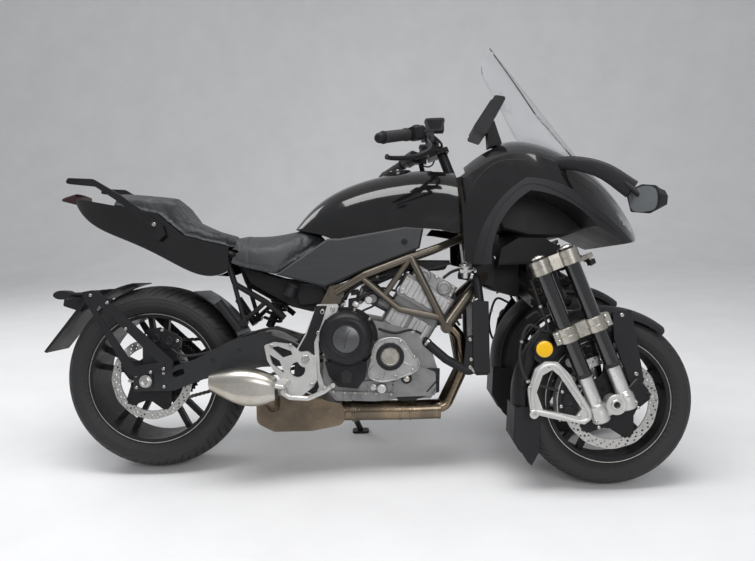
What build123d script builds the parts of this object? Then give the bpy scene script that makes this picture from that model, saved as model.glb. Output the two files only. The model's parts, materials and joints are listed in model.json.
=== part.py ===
"""Leaning three-wheeled motorcycle: two steered front wheels, one driven rear wheel.

Everything is drawn upright first, in millimetres: +X forward, +Y to the rider's left, +Z up,
with the ground point under the rear axle at zero. The chassis then leans to its left about
that ground line, as it stands on its side stand, and each front corner leans about its own
ground line, so that all three tyres and the stand's foot meet the floor.
"""
import os
from math import cos, radians, sin, sqrt

from build123d import *

# Stance
wheelbase = 1510.0
front_track = 410.0
lean_angle = 9.4
caster_angle = 20.0
trail = 74.0

# Wheels and tyres
front_tyre_radius = 274.5
front_tyre_width = 120.0
front_rim_radius = 202.0
front_rim_width = 96.0
rear_tyre_radius = 320.4
rear_tyre_width = 190.0
rear_rim_radius = 230.0
rear_rim_width = 160.0
rim_seat_depth = 12.0
rim_wall = 7.0
spoke_pairs = 5
spoke_width = 17.0
spoke_thickness = 22.0
spoke_spread = 17.0
fit_gap = 0.3
running_gap = 0.05

# Axles and hubs
axle_radius = 13.0
axle_bore_radius = 9.0
front_axle_bore_radius = 10.0
hub_radius = 34.0
front_axle_reach = 115.0
rear_axle_half = 152.0

# Brake discs
front_disc_radius = 149.0
front_disc_offset = 62.0
rear_disc_radius = 141.0
rear_disc_offset = 84.0
disc_thickness = 5.0
disc_band = 30.0
disc_clearance = 5.5
carrier_arms = 5
caliper_radius = 174.0
caliper_low_radius = 104.0
caliper_inner = 46.0
caliper_outer = 93.0
reflector_radius = 28.0
stay_thickness = 5.0

# Front forks, in the steering frame: u forward, v outboard, s up the steering axis
fork_offset = 97.0
fork_rear_u = -29.0
fork_front_u = 63.0
fork_tube_radius = 24.5
fork_stanchion_radius = 21.0
fork_top_s = 783.0
fork_sleeve_end_s = 400.0
upper_clamp_s = 754.0
lower_clamp_s = 533.0
clamp_height = 46.0
clamp_wall = 6.5
kingpin_radius = 24.0
kingpin_low_s = 634.0
tie_rod_u = 150.0
tie_rod_radius = 8.0

# Frame and swingarm
frame_tube_radius = 12.7
forward_tube_radius = 18.0
head_tube_radius = 30.0
column_radius = 18.0
swingarm_right_inner = 112.0
swingarm_left_inner = 126.0
swingarm_wall = 28.0
pivot_x = 548.0
pivot_z = 386.0
pivot_tube_radius = 22.0
plate_inner = 156.0
plate_thickness = 14.0
plate_top_z = 565.0
hanger_thickness = 12.0

# Drive chain
chain_offset = 112.0
chain_pitch = 15.875
chain_width = 18.0
chain_height = 14.0
rear_sprocket_teeth = 45
front_sprocket_teeth = 16
front_sprocket_x = 640.0
front_sprocket_z = 402.0

# Bodywork walls
cowl_wall = 4.0
trim_wall = 7.0
fender_wall = 4.0
fender_gap = 18.0
fender_half = 60.0
fender_lip_depth = 12.0
stay_outer = 78.0
screen_wall = 4.0

# Controls
bar_radius = 11.0
grip_radius = 17.0
column_top_x = 1030.0
column_top_z = 1082.0


def crown_radius(width, drop):
    """Radius of the tyre's tread arc, from its width and the fall from crown to shoulder."""
    return ((width / 2) ** 2 + drop ** 2) / (2 * drop)


front_tyre_drop = 30.0
rear_tyre_drop = 42.0
lean = radians(lean_angle)
rear_lift = crown_radius(rear_tyre_width, rear_tyre_drop) * (1 - cos(lean))
front_lift = crown_radius(front_tyre_width, front_tyre_drop) * (1 - cos(lean))

chassis_pose = Location((0, 0, rear_lift), (-lean_angle, 0, 0))
right_pose = Location((0, -front_track / 2, front_lift), (-lean_angle, 0, 0))
left_pose = Location((0, front_track / 2, front_lift), (-lean_angle, 0, 0))
rear_axle = Location((0, 0, rear_tyre_radius))
front_axle = Location((wheelbase, 0, front_tyre_radius))

caster = radians(caster_angle)
steering_frame = Plane(
    origin=(wheelbase + trail, 0, 0),
    x_dir=(cos(caster), 0, sin(caster)),
    z_dir=(-sin(caster), 0, cos(caster)),
)
axle_s = front_tyre_radius * cos(caster) + trail * sin(caster)

pieces = {}


def keep(label, solid, pose=chassis_pose):
    """Files a finished piece under its name, placed in the parked pose."""
    pieces[label] = solid.moved(pose)


def slab(points, low_y, high_y, corner=0.0):
    """A solid between two upright planes, from its side outline as (x, z)."""
    with BuildPart() as block:
        with BuildSketch(Plane.XZ.offset(-high_y)):
            with BuildLine():
                Polyline(*points, close=True)
            make_face()
            if corner:
                fillet(vertices(), corner)
        extrude(amount=high_y - low_y)
    return block.part


def cross_pin(x, z, radius, low_y, high_y):
    """A round pin along y."""
    with BuildPart() as pin:
        with BuildSketch(Plane.XZ.offset(-high_y)):
            with Locations((x, z)):
                Circle(radius)
        extrude(amount=high_y - low_y)
    return pin.part


def tube(points, radius, bend=0.0):
    """A round bar through the points, its corners bent."""
    with BuildPart() as bar:
        with BuildLine() as route:
            if len(points) > 2:
                FilletPolyline(*points, radius=bend)
            else:
                Line(*points)
        with BuildSketch(Plane(origin=route.line @ 0, z_dir=route.line % 0)):
            Circle(radius)
        sweep(path=route.line)
    return bar.part


def both_sides(solid):
    """The right-hand piece and its mirror image."""
    with BuildPart() as pair:
        add(solid)
        add(mirror(solid, about=Plane.XZ))
    return pair.part


def body_section(x, low, shoulder, top, half_low, half_shoulder, bulge):
    """Cross-section of a panel or cushion at x: flat below, curved sides, arched top."""
    middle = (low + shoulder) / 2
    side = (half_low + half_shoulder) / 2 + bulge
    with BuildSketch(Plane.YZ.offset(x)) as section:
        with BuildLine():
            Line((-half_low, low), (half_low, low))
            ThreePointArc((half_low, low), (side, middle), (half_shoulder, shoulder))
            ThreePointArc((half_shoulder, shoulder), (0, top), (-half_shoulder, shoulder))
            ThreePointArc((-half_shoulder, shoulder), (-side, middle), (-half_low, low))
        make_face()
    return section.sketch


def lofted_body(stations):
    """A body lofted along x through its cross-sections, one row of sizes each."""
    with BuildPart() as body:
        loft(sections=[body_section(*row) for row in stations])
    return body.part


# Wheels, each drawn about the origin with its axle along y


def tyre(radius, width, drop, rim_radius, rim_width):
    shoulder = radius - drop
    rim_half = rim_width / 2
    bead = rim_half - rim_wall - fit_gap
    seat = rim_radius - rim_seat_depth + fit_gap
    lip = rim_radius + fit_gap
    wall_middle = (shoulder + lip) / 2
    bulge = width / 2 + 1.5
    with BuildPart() as ring:
        with BuildSketch(Plane.YZ):
            with BuildLine():
                ThreePointArc((-width / 2, shoulder), (0, radius), (width / 2, shoulder))
                ThreePointArc((width / 2, shoulder), (bulge, wall_middle), (rim_half, lip))
                Polyline(
                    (rim_half, lip), (bead, lip), (bead, seat), (-bead, seat), (-bead, lip), (-rim_half, lip),
                )
                ThreePointArc((-rim_half, lip), (-bulge, wall_middle), (-width / 2, shoulder))
            make_face()
        revolve(axis=Axis.Y)
    return ring.part


def rim(rim_radius, rim_width, hub_right, hub_left):
    """Barrel, five pairs of spokes and a bored hub; the hub runs from -hub_right to hub_left."""
    half = rim_width / 2
    seat = rim_radius - rim_seat_depth
    barrel_inner = seat - rim_wall
    spoke_length = barrel_inner - hub_radius + 8
    spoke_middle = (barrel_inner + hub_radius) / 2
    with BuildPart() as wheel:
        with BuildSketch(Plane.YZ):
            with BuildLine():
                Polyline(
                    (-half, rim_radius), (rim_wall - half, rim_radius), (rim_wall - half, seat),
                    (half - rim_wall, seat), (half - rim_wall, rim_radius), (half, rim_radius),
                    (half, barrel_inner), (-half, barrel_inner), close=True,
                )
            make_face()
        revolve(axis=Axis.Y)
        with BuildSketch(Plane.XZ.offset(-spoke_thickness / 2)):
            for turn in (-spoke_spread / 2, spoke_spread / 2):
                with PolarLocations(spoke_middle, spoke_pairs, start_angle=90 + turn):
                    Rectangle(spoke_length, spoke_width)
        extrude(amount=spoke_thickness)
        with BuildSketch(Plane.XZ.offset(-hub_left)):
            Circle(hub_radius)
        extrude(amount=hub_left + hub_right)
        with BuildSketch(Plane.XZ.offset(-hub_left)):
            Circle(axle_radius + running_gap)
        extrude(amount=hub_left + hub_right, mode=Mode.SUBTRACT)
    return wheel.part


def brake_disc(radius, offset):
    """Ring and spider of a brake disc, its outer face at y = -offset - disc_thickness."""
    band_inner = radius - disc_band
    arm_middle = (band_inner + hub_radius) / 2
    with BuildPart() as disc:
        with BuildSketch(Plane.XZ.offset(offset)):
            Circle(radius)
            Circle(band_inner, mode=Mode.SUBTRACT)
            with PolarLocations(arm_middle, carrier_arms, start_angle=18):
                Rectangle(band_inner - hub_radius + 12, 24)
            Circle(hub_radius + 14)
            Circle(hub_radius - 6, mode=Mode.SUBTRACT)
        extrude(amount=disc_thickness)
    return disc.part


rear_hub_right = rear_disc_offset
rear_hub_left = chain_offset - 14
front_hub_right = front_disc_offset
front_hub_left = 44.0

rear_sprocket_radius = chain_pitch / (2 * sin(radians(180 / rear_sprocket_teeth)))
front_sprocket_radius = chain_pitch / (2 * sin(radians(180 / front_sprocket_teeth)))


def sprocket(radius, teeth, centre_y, bore):
    """A toothed plate between the chain's links."""
    thickness = chain_width * 0.35
    with BuildPart() as plate:
        with BuildSketch(Plane.XZ.offset(-centre_y - thickness / 2)):
            Circle(radius - chain_height * 0.55)
            with PolarLocations(radius - chain_height * 0.5, teeth):
                Rectangle(chain_height * 0.6, chain_pitch * 0.35)
            Circle(bore, mode=Mode.SUBTRACT)
        extrude(amount=thickness)
    return plate.part


rear_rim = rim(rear_rim_radius, rear_rim_width, rear_hub_right, rear_hub_left)
carrier_reach = chain_offset - chain_width * 0.175
with BuildPart() as sprocket_carrier:
    with BuildSketch(Plane.XZ.offset(-carrier_reach)):
        Circle(hub_radius + 22)
        Circle(hub_radius - 4, mode=Mode.SUBTRACT)
    extrude(amount=carrier_reach - rear_hub_left + 20)
rear_sprocket = sprocket(rear_sprocket_radius, rear_sprocket_teeth, chain_offset, hub_radius - 4)
rear_tyre = tyre(rear_tyre_radius, rear_tyre_width, rear_tyre_drop, rear_rim_radius, rear_rim_width)
keep("rear_tyre", rear_tyre.moved(rear_axle))
keep("rear_rim", (rear_rim + sprocket_carrier.part + rear_sprocket).moved(rear_axle))
keep("rear_disc", brake_disc(rear_disc_radius, rear_disc_offset).moved(rear_axle))

front_tyre = tyre(front_tyre_radius, front_tyre_width, front_tyre_drop, front_rim_radius, front_rim_width)
front_rim = rim(front_rim_radius, front_rim_width, front_hub_right, front_hub_left)
front_disc = brake_disc(front_disc_radius, front_disc_offset)
for label, solid in (("tyre", front_tyre), ("rim", front_rim), ("disc", front_disc)):
    placed = solid.moved(front_axle)
    keep(f"front_{label}_right", placed, right_pose)
    keep(f"front_{label}_left", mirror(placed, about=Plane.XZ), left_pose)


# Front corner, drawn for the right-hand wheel with its own mid-plane at y = 0


def ahead(*points):
    """Points whose x is given from the front axle."""
    return [(wheelbase + point[0], *point[1:]) for point in points]


def sector(outer, inner, start, stop, steps=4):
    """Points of an annular sector about the front axle, angles in degrees from straight ahead."""
    angles = [radians(start + (stop - start) * step / steps) for step in range(steps + 1)]
    rim_points = [(wheelbase + outer * cos(a), front_tyre_radius + outer * sin(a)) for a in angles]
    inner_points = [(wheelbase + inner * cos(a), front_tyre_radius + inner * sin(a)) for a in reversed(angles)]
    return rim_points + inner_points



fork_tubes = (
    # u, stanchion radius, s of its foot
    (fork_rear_u, fork_stanchion_radius, axle_s - 12),
    (fork_front_u, fork_stanchion_radius - 1, axle_s - 2),
)
with BuildPart() as fork_right:
    for u, stanchion_radius, foot_s in fork_tubes:
        with BuildSketch(steering_frame.offset(foot_s)):
            with Locations((u, -fork_offset)):
                Circle(stanchion_radius)
        extrude(amount=fork_sleeve_end_s - foot_s)
        with BuildSketch(steering_frame.offset(fork_sleeve_end_s)):
            with Locations((u, -fork_offset)):
                Circle(fork_tube_radius)
        extrude(amount=fork_top_s - fork_sleeve_end_s)
        with BuildSketch(steering_frame.offset(fork_top_s)):
            with Locations((u, -fork_offset)):
                Circle(fork_tube_radius - 8)
        extrude(amount=6)

clamp_radius = fork_tube_radius + clamp_wall
tube_hole_radius = fork_tube_radius + fit_gap
tie_arm_s = upper_clamp_s - clamp_height / 2 - 12
tie_joint_s = tie_arm_s - 15
upper_clamp_low = upper_clamp_s - clamp_height / 2
lower_clamp_low = lower_clamp_s - clamp_height / 2


def clamp_tops():
    """The two rings round the fork tubes and the bridge between them."""
    for u in (fork_rear_u, fork_front_u):
        with Locations((u, -fork_offset)):
            Circle(clamp_radius)
    with Locations(((fork_rear_u + fork_front_u) / 2, -fork_offset)):
        Rectangle(fork_front_u - fork_rear_u, 26)


with BuildPart() as yoke_right:
    with BuildSketch(steering_frame.offset(upper_clamp_low)):
        clamp_tops()
    extrude(amount=clamp_height)
    with BuildSketch(steering_frame.offset(upper_clamp_low)):
        with BuildLine():
            Polyline((-34, -70), (-26, 18), (26, 18), (44, -70), close=True)
        make_face()
        fillet(vertices().sort_by(Axis.Y)[-2:], 16)
    extrude(amount=clamp_height * 0.7)
    with BuildSketch(steering_frame.offset(kingpin_low_s)):
        Circle(kingpin_radius)
    extrude(amount=upper_clamp_s - kingpin_low_s)
    with BuildSketch(steering_frame.offset(tie_arm_s)):
        with BuildLine():
            Polyline(
                (34, -84), (62, -66), (tie_rod_u - 8, -12), (tie_rod_u + 12, -8), (tie_rod_u + 12, 10),
                (tie_rod_u - 12, 12), (30, -40), close=True,
            )
        make_face()
        fillet(vertices().filter_by(lambda v: v.X > 100), 5)
    extrude(amount=14)
    with BuildSketch(steering_frame.offset(tie_joint_s - 12)):
        with Locations((tie_rod_u, 0)):
            Circle(6)
    extrude(amount=28)
    with BuildSketch(steering_frame.offset(lower_clamp_low)):
        clamp_tops()
    extrude(amount=clamp_height)
    for u, direction in ((fork_rear_u, -1), (fork_front_u, 1)):
        with BuildSketch(steering_frame.offset(lower_clamp_low + 3)):
            with Locations((u + direction * (clamp_radius + 4), -fork_offset)):
                Rectangle(20, 30)
        extrude(amount=clamp_height - 6)
    for low in (upper_clamp_low, lower_clamp_low):
        with BuildSketch(steering_frame.offset(low)):
            for u in (fork_rear_u, fork_front_u):
                with Locations((u, -fork_offset)):
                    Circle(tube_hole_radius)
        extrude(amount=clamp_height, mode=Mode.SUBTRACT)

loop_outline = ahead(
    # x, z of the forged loop that carries the fender
    (-258, 252), (-264, 322), (-240, 388), (-210, 410), (-172, 408), (-138, 372), (-70, 250),
    (-92, 214), (-180, 232),
)
loop_window = ahead(
    (-220, 262), (-238, 316), (-218, 368), (-188, 384), (-166, 364), (-102, 262), (-120, 240),
)
lug_height = 40.0
knuckle_low = axle_s - 26
with BuildPart() as knuckle_right:
    with BuildSketch(steering_frame.offset(knuckle_low)):
        for u in (fork_rear_u, fork_front_u):
            with Locations((u, -fork_offset)):
                Circle(fork_stanchion_radius + 6)
        with Locations(((fork_rear_u + fork_front_u) / 2, -fork_offset)):
            Rectangle(fork_front_u - fork_rear_u, 34)
    extrude(amount=lug_height)
    with BuildSketch(Plane(origin=(wheelbase, 26 - fork_offset, front_tyre_radius), z_dir=(0, -1, 0))):
        Circle(27)
    extrude(amount=front_axle_reach - fork_offset + 22)
    with BuildSketch(Plane(origin=(wheelbase, front_hub_left + 10, front_tyre_radius), z_dir=(0, -1, 0))):
        Circle(20)
    extrude(amount=10 - fit_gap)
    with BuildSketch(Plane(origin=(wheelbase, front_hub_left + 10, front_tyre_radius), z_dir=(0, -1, 0))):
        Circle(axle_radius)
    extrude(amount=front_hub_left + 10 + front_axle_reach)
    with BuildSketch(Plane(origin=(wheelbase, -front_axle_reach, front_tyre_radius), z_dir=(0, 1, 0))):
        Circle(front_axle_bore_radius)
    extrude(amount=60, mode=Mode.SUBTRACT)
    with BuildSketch(Plane.XZ.offset(fork_offset + 2)):
        with BuildLine():
            Polyline(*loop_outline, close=True)
        make_face()
        fillet(vertices(), 9)
        with BuildLine():
            Polyline(*loop_window, close=True)
        make_face(mode=Mode.SUBTRACT)
    extrude(amount=12)
    with BuildSketch(Plane.XZ.offset(caliper_inner)):
        with BuildLine():
            Polyline(*sector(caliper_radius, caliper_low_radius, 150, 198), close=True)
        make_face()
    extrude(amount=caliper_outer - caliper_inner)
    with BuildSketch(Plane.XZ.offset(fork_offset - 17)):
        with BuildLine():
            Polyline(*ahead((-140, 300), (-130, 250), (-40, 240), (-40, 290)), close=True)
        make_face()
    extrude(amount=caliper_outer - fork_offset + 17)
    with BuildSketch(Plane.XZ.offset(stay_outer + fit_gap)):
        with BuildLine():
            Polyline(*ahead((35, 300), (80, 348), (108, 312), (88, 276), (40, 268)), close=True)
        make_face()
        fillet(vertices(), 6)
    extrude(amount=12)
    with BuildSketch(Plane.XZ.offset(front_disc_offset - disc_clearance)):
        with Locations((wheelbase, front_tyre_radius)):
            Circle(front_disc_radius + disc_clearance)
            Circle(60, mode=Mode.SUBTRACT)
    extrude(amount=disc_thickness + 2 * disc_clearance, mode=Mode.SUBTRACT)
    for u, stanchion_radius, foot_s in fork_tubes:
        with BuildSketch(steering_frame.offset(foot_s)):
            with Locations((u, -fork_offset)):
                Circle(stanchion_radius + fit_gap)
        extrude(amount=3 * lug_height, mode=Mode.SUBTRACT)

fender_outer = front_tyre_radius + fender_gap + fender_wall
fender_arc = crown_radius(front_tyre_width, front_tyre_drop) + fender_gap + fender_wall
fender_edge = fender_outer - fender_arc + sqrt(fender_arc ** 2 - fender_half ** 2)
fender_lip = fender_edge - fender_lip_depth
with BuildPart() as fender_ring:
    with BuildSketch(Plane.YZ):
        with BuildLine():
            ThreePointArc((-fender_half, fender_edge), (0, fender_outer), (fender_half, fender_edge))
            Polyline(
                (fender_half, fender_edge), (fender_half + 2, fender_lip),
                (fender_half + 2 - fender_wall, fender_lip), (fender_half - fender_wall, fender_edge - 3),
            )
            ThreePointArc(
                (fender_half - fender_wall, fender_edge - 3), (0, fender_outer - fender_wall),
                (fender_wall - fender_half, fender_edge - 3),
            )
            Polyline(
                (fender_wall - fender_half, fender_edge - 3), (fender_wall - fender_half - 2, fender_lip),
                (-fender_half - 2, fender_lip), (-fender_half, fender_edge),
            )
        make_face()
    revolve(axis=Axis.Y)
fender_tip_angle = 50
fender_tail_angle = 186
flap_outline = ahead((-296, 262), (-303, 160), (-248, 74), (-244, 78), (-297, 162), (-290, 262))
flap_width = ((-62, 270), (-58, 160), (-18, 66), (18, 66), (58, 160), (62, 270))
with BuildPart() as fender_flap:
    with BuildSketch(Plane.XZ.offset(-fender_half)):
        with BuildLine():
            Polyline(*flap_outline, close=True)
        make_face()
    extrude(amount=2 * fender_half)
    with BuildSketch(Plane.YZ.offset(wheelbase - 360)):
        with BuildLine():
            Polyline(*flap_width, close=True)
        make_face()
    extrude(amount=200, mode=Mode.INTERSECT)
with BuildPart() as fender_right:
    with BuildSketch(Plane.XZ.offset(-fender_half - 10)):
        with BuildLine():
            Polyline(
                (wheelbase, front_tyre_radius),
                *sector(fender_outer + 60, fender_outer + 60, fender_tip_angle, fender_tail_angle, 8)[:9],
                close=True,
            )
        make_face()
    extrude(amount=2 * fender_half + 20)
    add(fender_ring.part.moved(front_axle), mode=Mode.INTERSECT)
    add(fender_flap.part)
    with BuildSketch(Plane.XZ.offset(stay_outer - stay_thickness)):
        with BuildLine():
            Polyline(*ahead((12, 556), (70, 560), (102, 340), (88, 300), (62, 322), (14, 470)), close=True)
        make_face()
        fillet(vertices(), 8)
    extrude(amount=stay_thickness)
    with BuildSketch(Plane.XZ.offset(fender_half - fender_wall)):
        with BuildLine():
            Polyline(*ahead((16, 552), (66, 556), (72, 536), (16, 542)), close=True)
        make_face()
    extrude(amount=stay_outer - fender_half)
    with BuildSketch(Plane.XZ.offset(front_disc_offset - disc_clearance)):
        with Locations((wheelbase, front_tyre_radius)):
            Circle(front_disc_radius + disc_clearance)
    extrude(amount=disc_thickness + 2 * disc_clearance, mode=Mode.SUBTRACT)
    with BuildSketch(Plane.XZ.offset(fender_half - 2)):
        with BuildLine():
            Polyline(*ahead(
                (-274, 330), (-252, 440), (-192, 524), (-172, 494), (-220, 442), (-246, 392), (-260, 330),
            ), close=True)
        make_face()
    extrude(amount=14)
    with BuildSketch(Plane.XZ.offset(fender_half + 7)):
        with BuildLine():
            Polyline(*ahead((-242, 420), (-214, 480), (-194, 464), (-196, 396), (-220, 400)), close=True)
        make_face()
        fillet(vertices(), 8)
    extrude(amount=fork_offset + 2 - fit_gap - fender_half - 7)
    with BuildSketch(Plane.XZ.offset(fork_offset + 2 - fit_gap)):
        with Locations((wheelbase - 210, 448)):
            Circle(reflector_radius)
    extrude(amount=8)

corner_pieces = (
    ("yoke", yoke_right), ("fork", fork_right), ("knuckle", knuckle_right), ("fender", fender_right),
)
for label, solid in corner_pieces:
    keep(f"{label}_right", solid.part, right_pose)
    keep(f"{label}_left", mirror(solid.part, about=Plane.XZ), left_pose)

# Tie rod, square to the chassis because both steering axes are parallel
tie_point = (steering_frame * Location((tie_rod_u, 0, tie_joint_s))).position
tie_right = (right_pose * Location(tie_point)).position
tie_left = (left_pose * Location(tie_point)).position
right_steering = Plane(right_pose * steering_frame.location)
left_steering = Plane(left_pose * steering_frame.location)
with BuildPart() as tie_rod:
    add(tube([tie_right, tie_left], tie_rod_radius))
    for steering in (right_steering, left_steering):
        with BuildSketch(steering.offset(tie_joint_s - 8)):
            with Locations((tie_rod_u, 0)):
                Circle(14)
        extrude(amount=16)
    for steering in (right_steering, left_steering):
        with BuildSketch(steering.offset(tie_joint_s - 14)):
            with Locations((tie_rod_u, 0)):
                Circle(6 + running_gap)
        extrude(amount=28, mode=Mode.SUBTRACT)
keep("tie_rod", tie_rod.part, Location())

# Leaning linkage: two pairs of level arms, and the uprights that hold both kingpins

arm_front_x = wheelbase - 115
arm_rear_x = arm_front_x - 91
arm_thickness = 14.0
arm_half_height = 18.0
lower_arm_z = 588.0
upper_arm_z = 650.0
arm_pin_radius = 11.0
upright_radius = 35.0
upright_low_s = 626.0
upright_high_s = upper_clamp_low - fit_gap - 2

with BuildPart() as upright_right:
    with BuildSketch(steering_frame.offset(upright_low_s)):
        Circle(upright_radius)
    extrude(amount=upright_high_s - upright_low_s)
    for z in (lower_arm_z, upper_arm_z):
        with BuildSketch(Plane.YZ.offset(arm_rear_x + fit_gap)):
            with Locations((0, z)):
                Circle(arm_half_height)
        extrude(amount=arm_front_x - arm_rear_x - 2 * fit_gap)
    with BuildSketch(steering_frame.offset(kingpin_low_s - 10)):
        Circle(kingpin_radius + running_gap)
    extrude(amount=upper_clamp_s - kingpin_low_s, mode=Mode.SUBTRACT)


def level_arm(x, z, cap_direction):
    """One arm across both uprights, level however far the chassis leans."""
    height = z * cos(lean)
    shift = z * sin(lean)
    half = front_track / 2
    with BuildPart() as arm:
        with BuildSketch(Plane.YZ.offset(x)):
            with Locations((shift, height)):
                SlotCenterToCenter(2 * half, 2 * arm_half_height)
        extrude(amount=arm_thickness)
        cap_x = x + arm_thickness if cap_direction > 0 else x - 6
        with BuildSketch(Plane.YZ.offset(cap_x)):
            with Locations((shift - half, height), (shift, height), (shift + half, height)):
                Circle(arm_pin_radius)
        extrude(amount=6)
    return arm.part


level_pose = Location((0, 0, rear_lift))
arms = [
    level_arm(x, z, direction).moved(level_pose)
    for x, direction in ((arm_front_x, 1), (arm_rear_x - arm_thickness, -1))
    for z in (lower_arm_z, upper_arm_z)
]
uprights = [upright_right.part.moved(right_pose), mirror(upright_right.part, about=Plane.XZ).moved(left_pose)]
with BuildPart() as leaning_linkage:
    for solid in arms + uprights:
        add(solid)
keep("leaning_linkage", leaning_linkage.part, Location())

# Handlebar, its column parallel to the kingpins

column_frame = Plane(
    origin=(column_top_x, 0, column_top_z),
    x_dir=(cos(caster), 0, sin(caster)),
    z_dir=(-sin(caster), 0, cos(caster)),
)
column_length = 235.0
bar_inner = (1000, -80, 1112)
bar_bend = (926, -222, 1108)
bar_end = (821, -360, 1067)
grip_length = 128.0
with BuildPart() as handlebar:
    with BuildSketch(column_frame.offset(-column_length)):
        Circle(column_radius)
    extrude(amount=column_length)
    with BuildSketch(column_frame.offset(-4)):
        with BuildLine():
            Polyline((-50, -52), (-50, 52), (-14, 60), (24, 30), (24, -30), (-14, -60), close=True)
        make_face()
        fillet(vertices(), 8)
    extrude(amount=18)
    add(tube([(bar_end[0], -bar_end[1], bar_end[2]), (bar_bend[0], -bar_bend[1], bar_bend[2]),
              (bar_inner[0], -bar_inner[1], bar_inner[2]), bar_inner, bar_bend, bar_end], bar_radius, 40))
    with Locations((1000, 42, 1098), (1000, -42, 1098)):
        Box(34, 26, 40)
grip_direction = Vector(*bar_end) - Vector(*bar_bend)
with BuildPart() as grip:
    with BuildSketch(Plane(origin=bar_end, z_dir=-grip_direction)):
        Circle(grip_radius)
    extrude(amount=grip_length)
    with BuildSketch(Plane(origin=bar_end, z_dir=grip_direction)):
        Circle(grip_radius - 1)
    extrude(amount=22, taper=8)
lever_route = [(962, -208, 1094), (972, -236, 1052), (908, -282, 1018), (846, -346, 1008)]
with BuildPart() as bar_controls:
    with BuildSketch(Plane(origin=bar_bend, z_dir=-grip_direction)):
        Rectangle(46, 40)
        fillet(vertices(), 6)
    extrude(amount=-30)
    add(tube(lever_route, 6.5, 14))
    with Locations((992, -196, 1136)):
        Box(58, 46, 40)
    with Locations((968, -200, 1104)):
        Box(40, 30, 36)
with BuildPart() as handlebar_set:
    add(handlebar.part)
    for solid in (grip.part, bar_controls.part):
        add(solid)
        add(mirror(solid, about=Plane.XZ))
keep("handlebar", handlebar_set.part)

# Frame

top_rail = [(652, -168, 602), (751, -172, 659), (901, -168, 712), (1001, -146, 744), (1130, -50, 796)]
lower_rail = [(738, -170, 652), (815, -170, 582), (863, -170, 541), (998, -170, 510)]
node_top = (904, -168, 713)
engine_bolt = (1013, 477)
with BuildPart() as frame_side:
    add(tube(top_rail, frame_tube_radius, 60))
    add(tube(lower_rail, frame_tube_radius - 2, 40))
    add(tube([node_top, (engine_bolt[0], -170, engine_bolt[1])], frame_tube_radius))
    add(tube([node_top, (811, -170, 586)], frame_tube_radius - 3))
    add(tube(
        [(engine_bolt[0], -170, engine_bolt[1]), (1100, -125, 585),
        (1165, -40, 648)], forward_tube_radius, 60,
    ))
    with BuildSketch(Plane.XZ.offset(150 + fit_gap)):
        with Locations(engine_bolt):
            Circle(18)
    extrude(amount=40)
    with BuildSketch(Plane.XZ.offset(190 + fit_gap)):
        with Locations(engine_bolt):
            RegularPolygon(10, 6)
    extrude(amount=8)
    with BuildSketch(Plane.XZ.offset(155)):
        with BuildLine():
            Polyline(
                (600, plate_top_z + fit_gap), (632, 624), (690, 636), (678, 596),
                (664, plate_top_z + fit_gap), close=True,
            )
        make_face()
        fillet(vertices().sort_by(Axis.Y)[2:], 8)
    extrude(amount=16)
web_nose_x = arm_rear_x - arm_thickness - 6
head_outline = (
    (1100, 636), (1080, 840), (1078, 862), (1122, 884), (1160, 830), (1182, 690), (web_nose_x, 684),
    (web_nose_x, 566), (1180, 596),
)
web_low = lower_arm_z + arm_half_height + 4
web_high = upper_arm_z - arm_half_height - 4
head_tube_low = 232.0
head_tube_length = 132.0
with BuildPart() as main_frame:
    add(frame_side.part)
    add(mirror(frame_side.part, about=Plane.XZ))
    with BuildSketch(Plane.XZ):
        with BuildLine():
            Polyline(*head_outline, close=True)
        make_face()
    extrude(amount=34, both=True)
    with BuildSketch(Plane.XZ):
        with BuildLine():
            Polyline((1104, 640), (1100, 812), (1160, 812), (1200, 690), (1190, 606), close=True)
        make_face()
    extrude(amount=56, both=True)
    with BuildSketch(Plane.XZ):
        with BuildLine():
            Polyline(
                (1280, web_low), (arm_front_x - fit_gap, web_low), (arm_front_x - fit_gap, web_high),
                (1280, web_high), close=True,
            )
        make_face()
    extrude(amount=13, both=True)
    for z in (lower_arm_z, upper_arm_z):
        with BuildSketch(Plane.YZ.offset(arm_rear_x + fit_gap)):
            with Locations((0, z)):
                Circle(arm_half_height)
        extrude(amount=arm_front_x - arm_rear_x - 2 * fit_gap)
    with BuildSketch(Plane.YZ.offset(arm_rear_x + fit_gap)):
        with Locations((0, (lower_arm_z + upper_arm_z) / 2)):
            Rectangle(26, upper_arm_z - lower_arm_z)
    extrude(amount=arm_front_x - arm_rear_x - 2 * fit_gap)
    with BuildSketch(column_frame.offset(-head_tube_low)):
        Circle(head_tube_radius)
    extrude(amount=head_tube_length)
    with BuildSketch(column_frame.offset(-head_tube_low - 60)):
        Circle(column_radius + running_gap)
    extrude(amount=head_tube_length + 80, mode=Mode.SUBTRACT)
keep("main_frame", main_frame.part)

# Alloy plates that carry the swingarm pivot, with the open hangers, pegs and pedals on them

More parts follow.
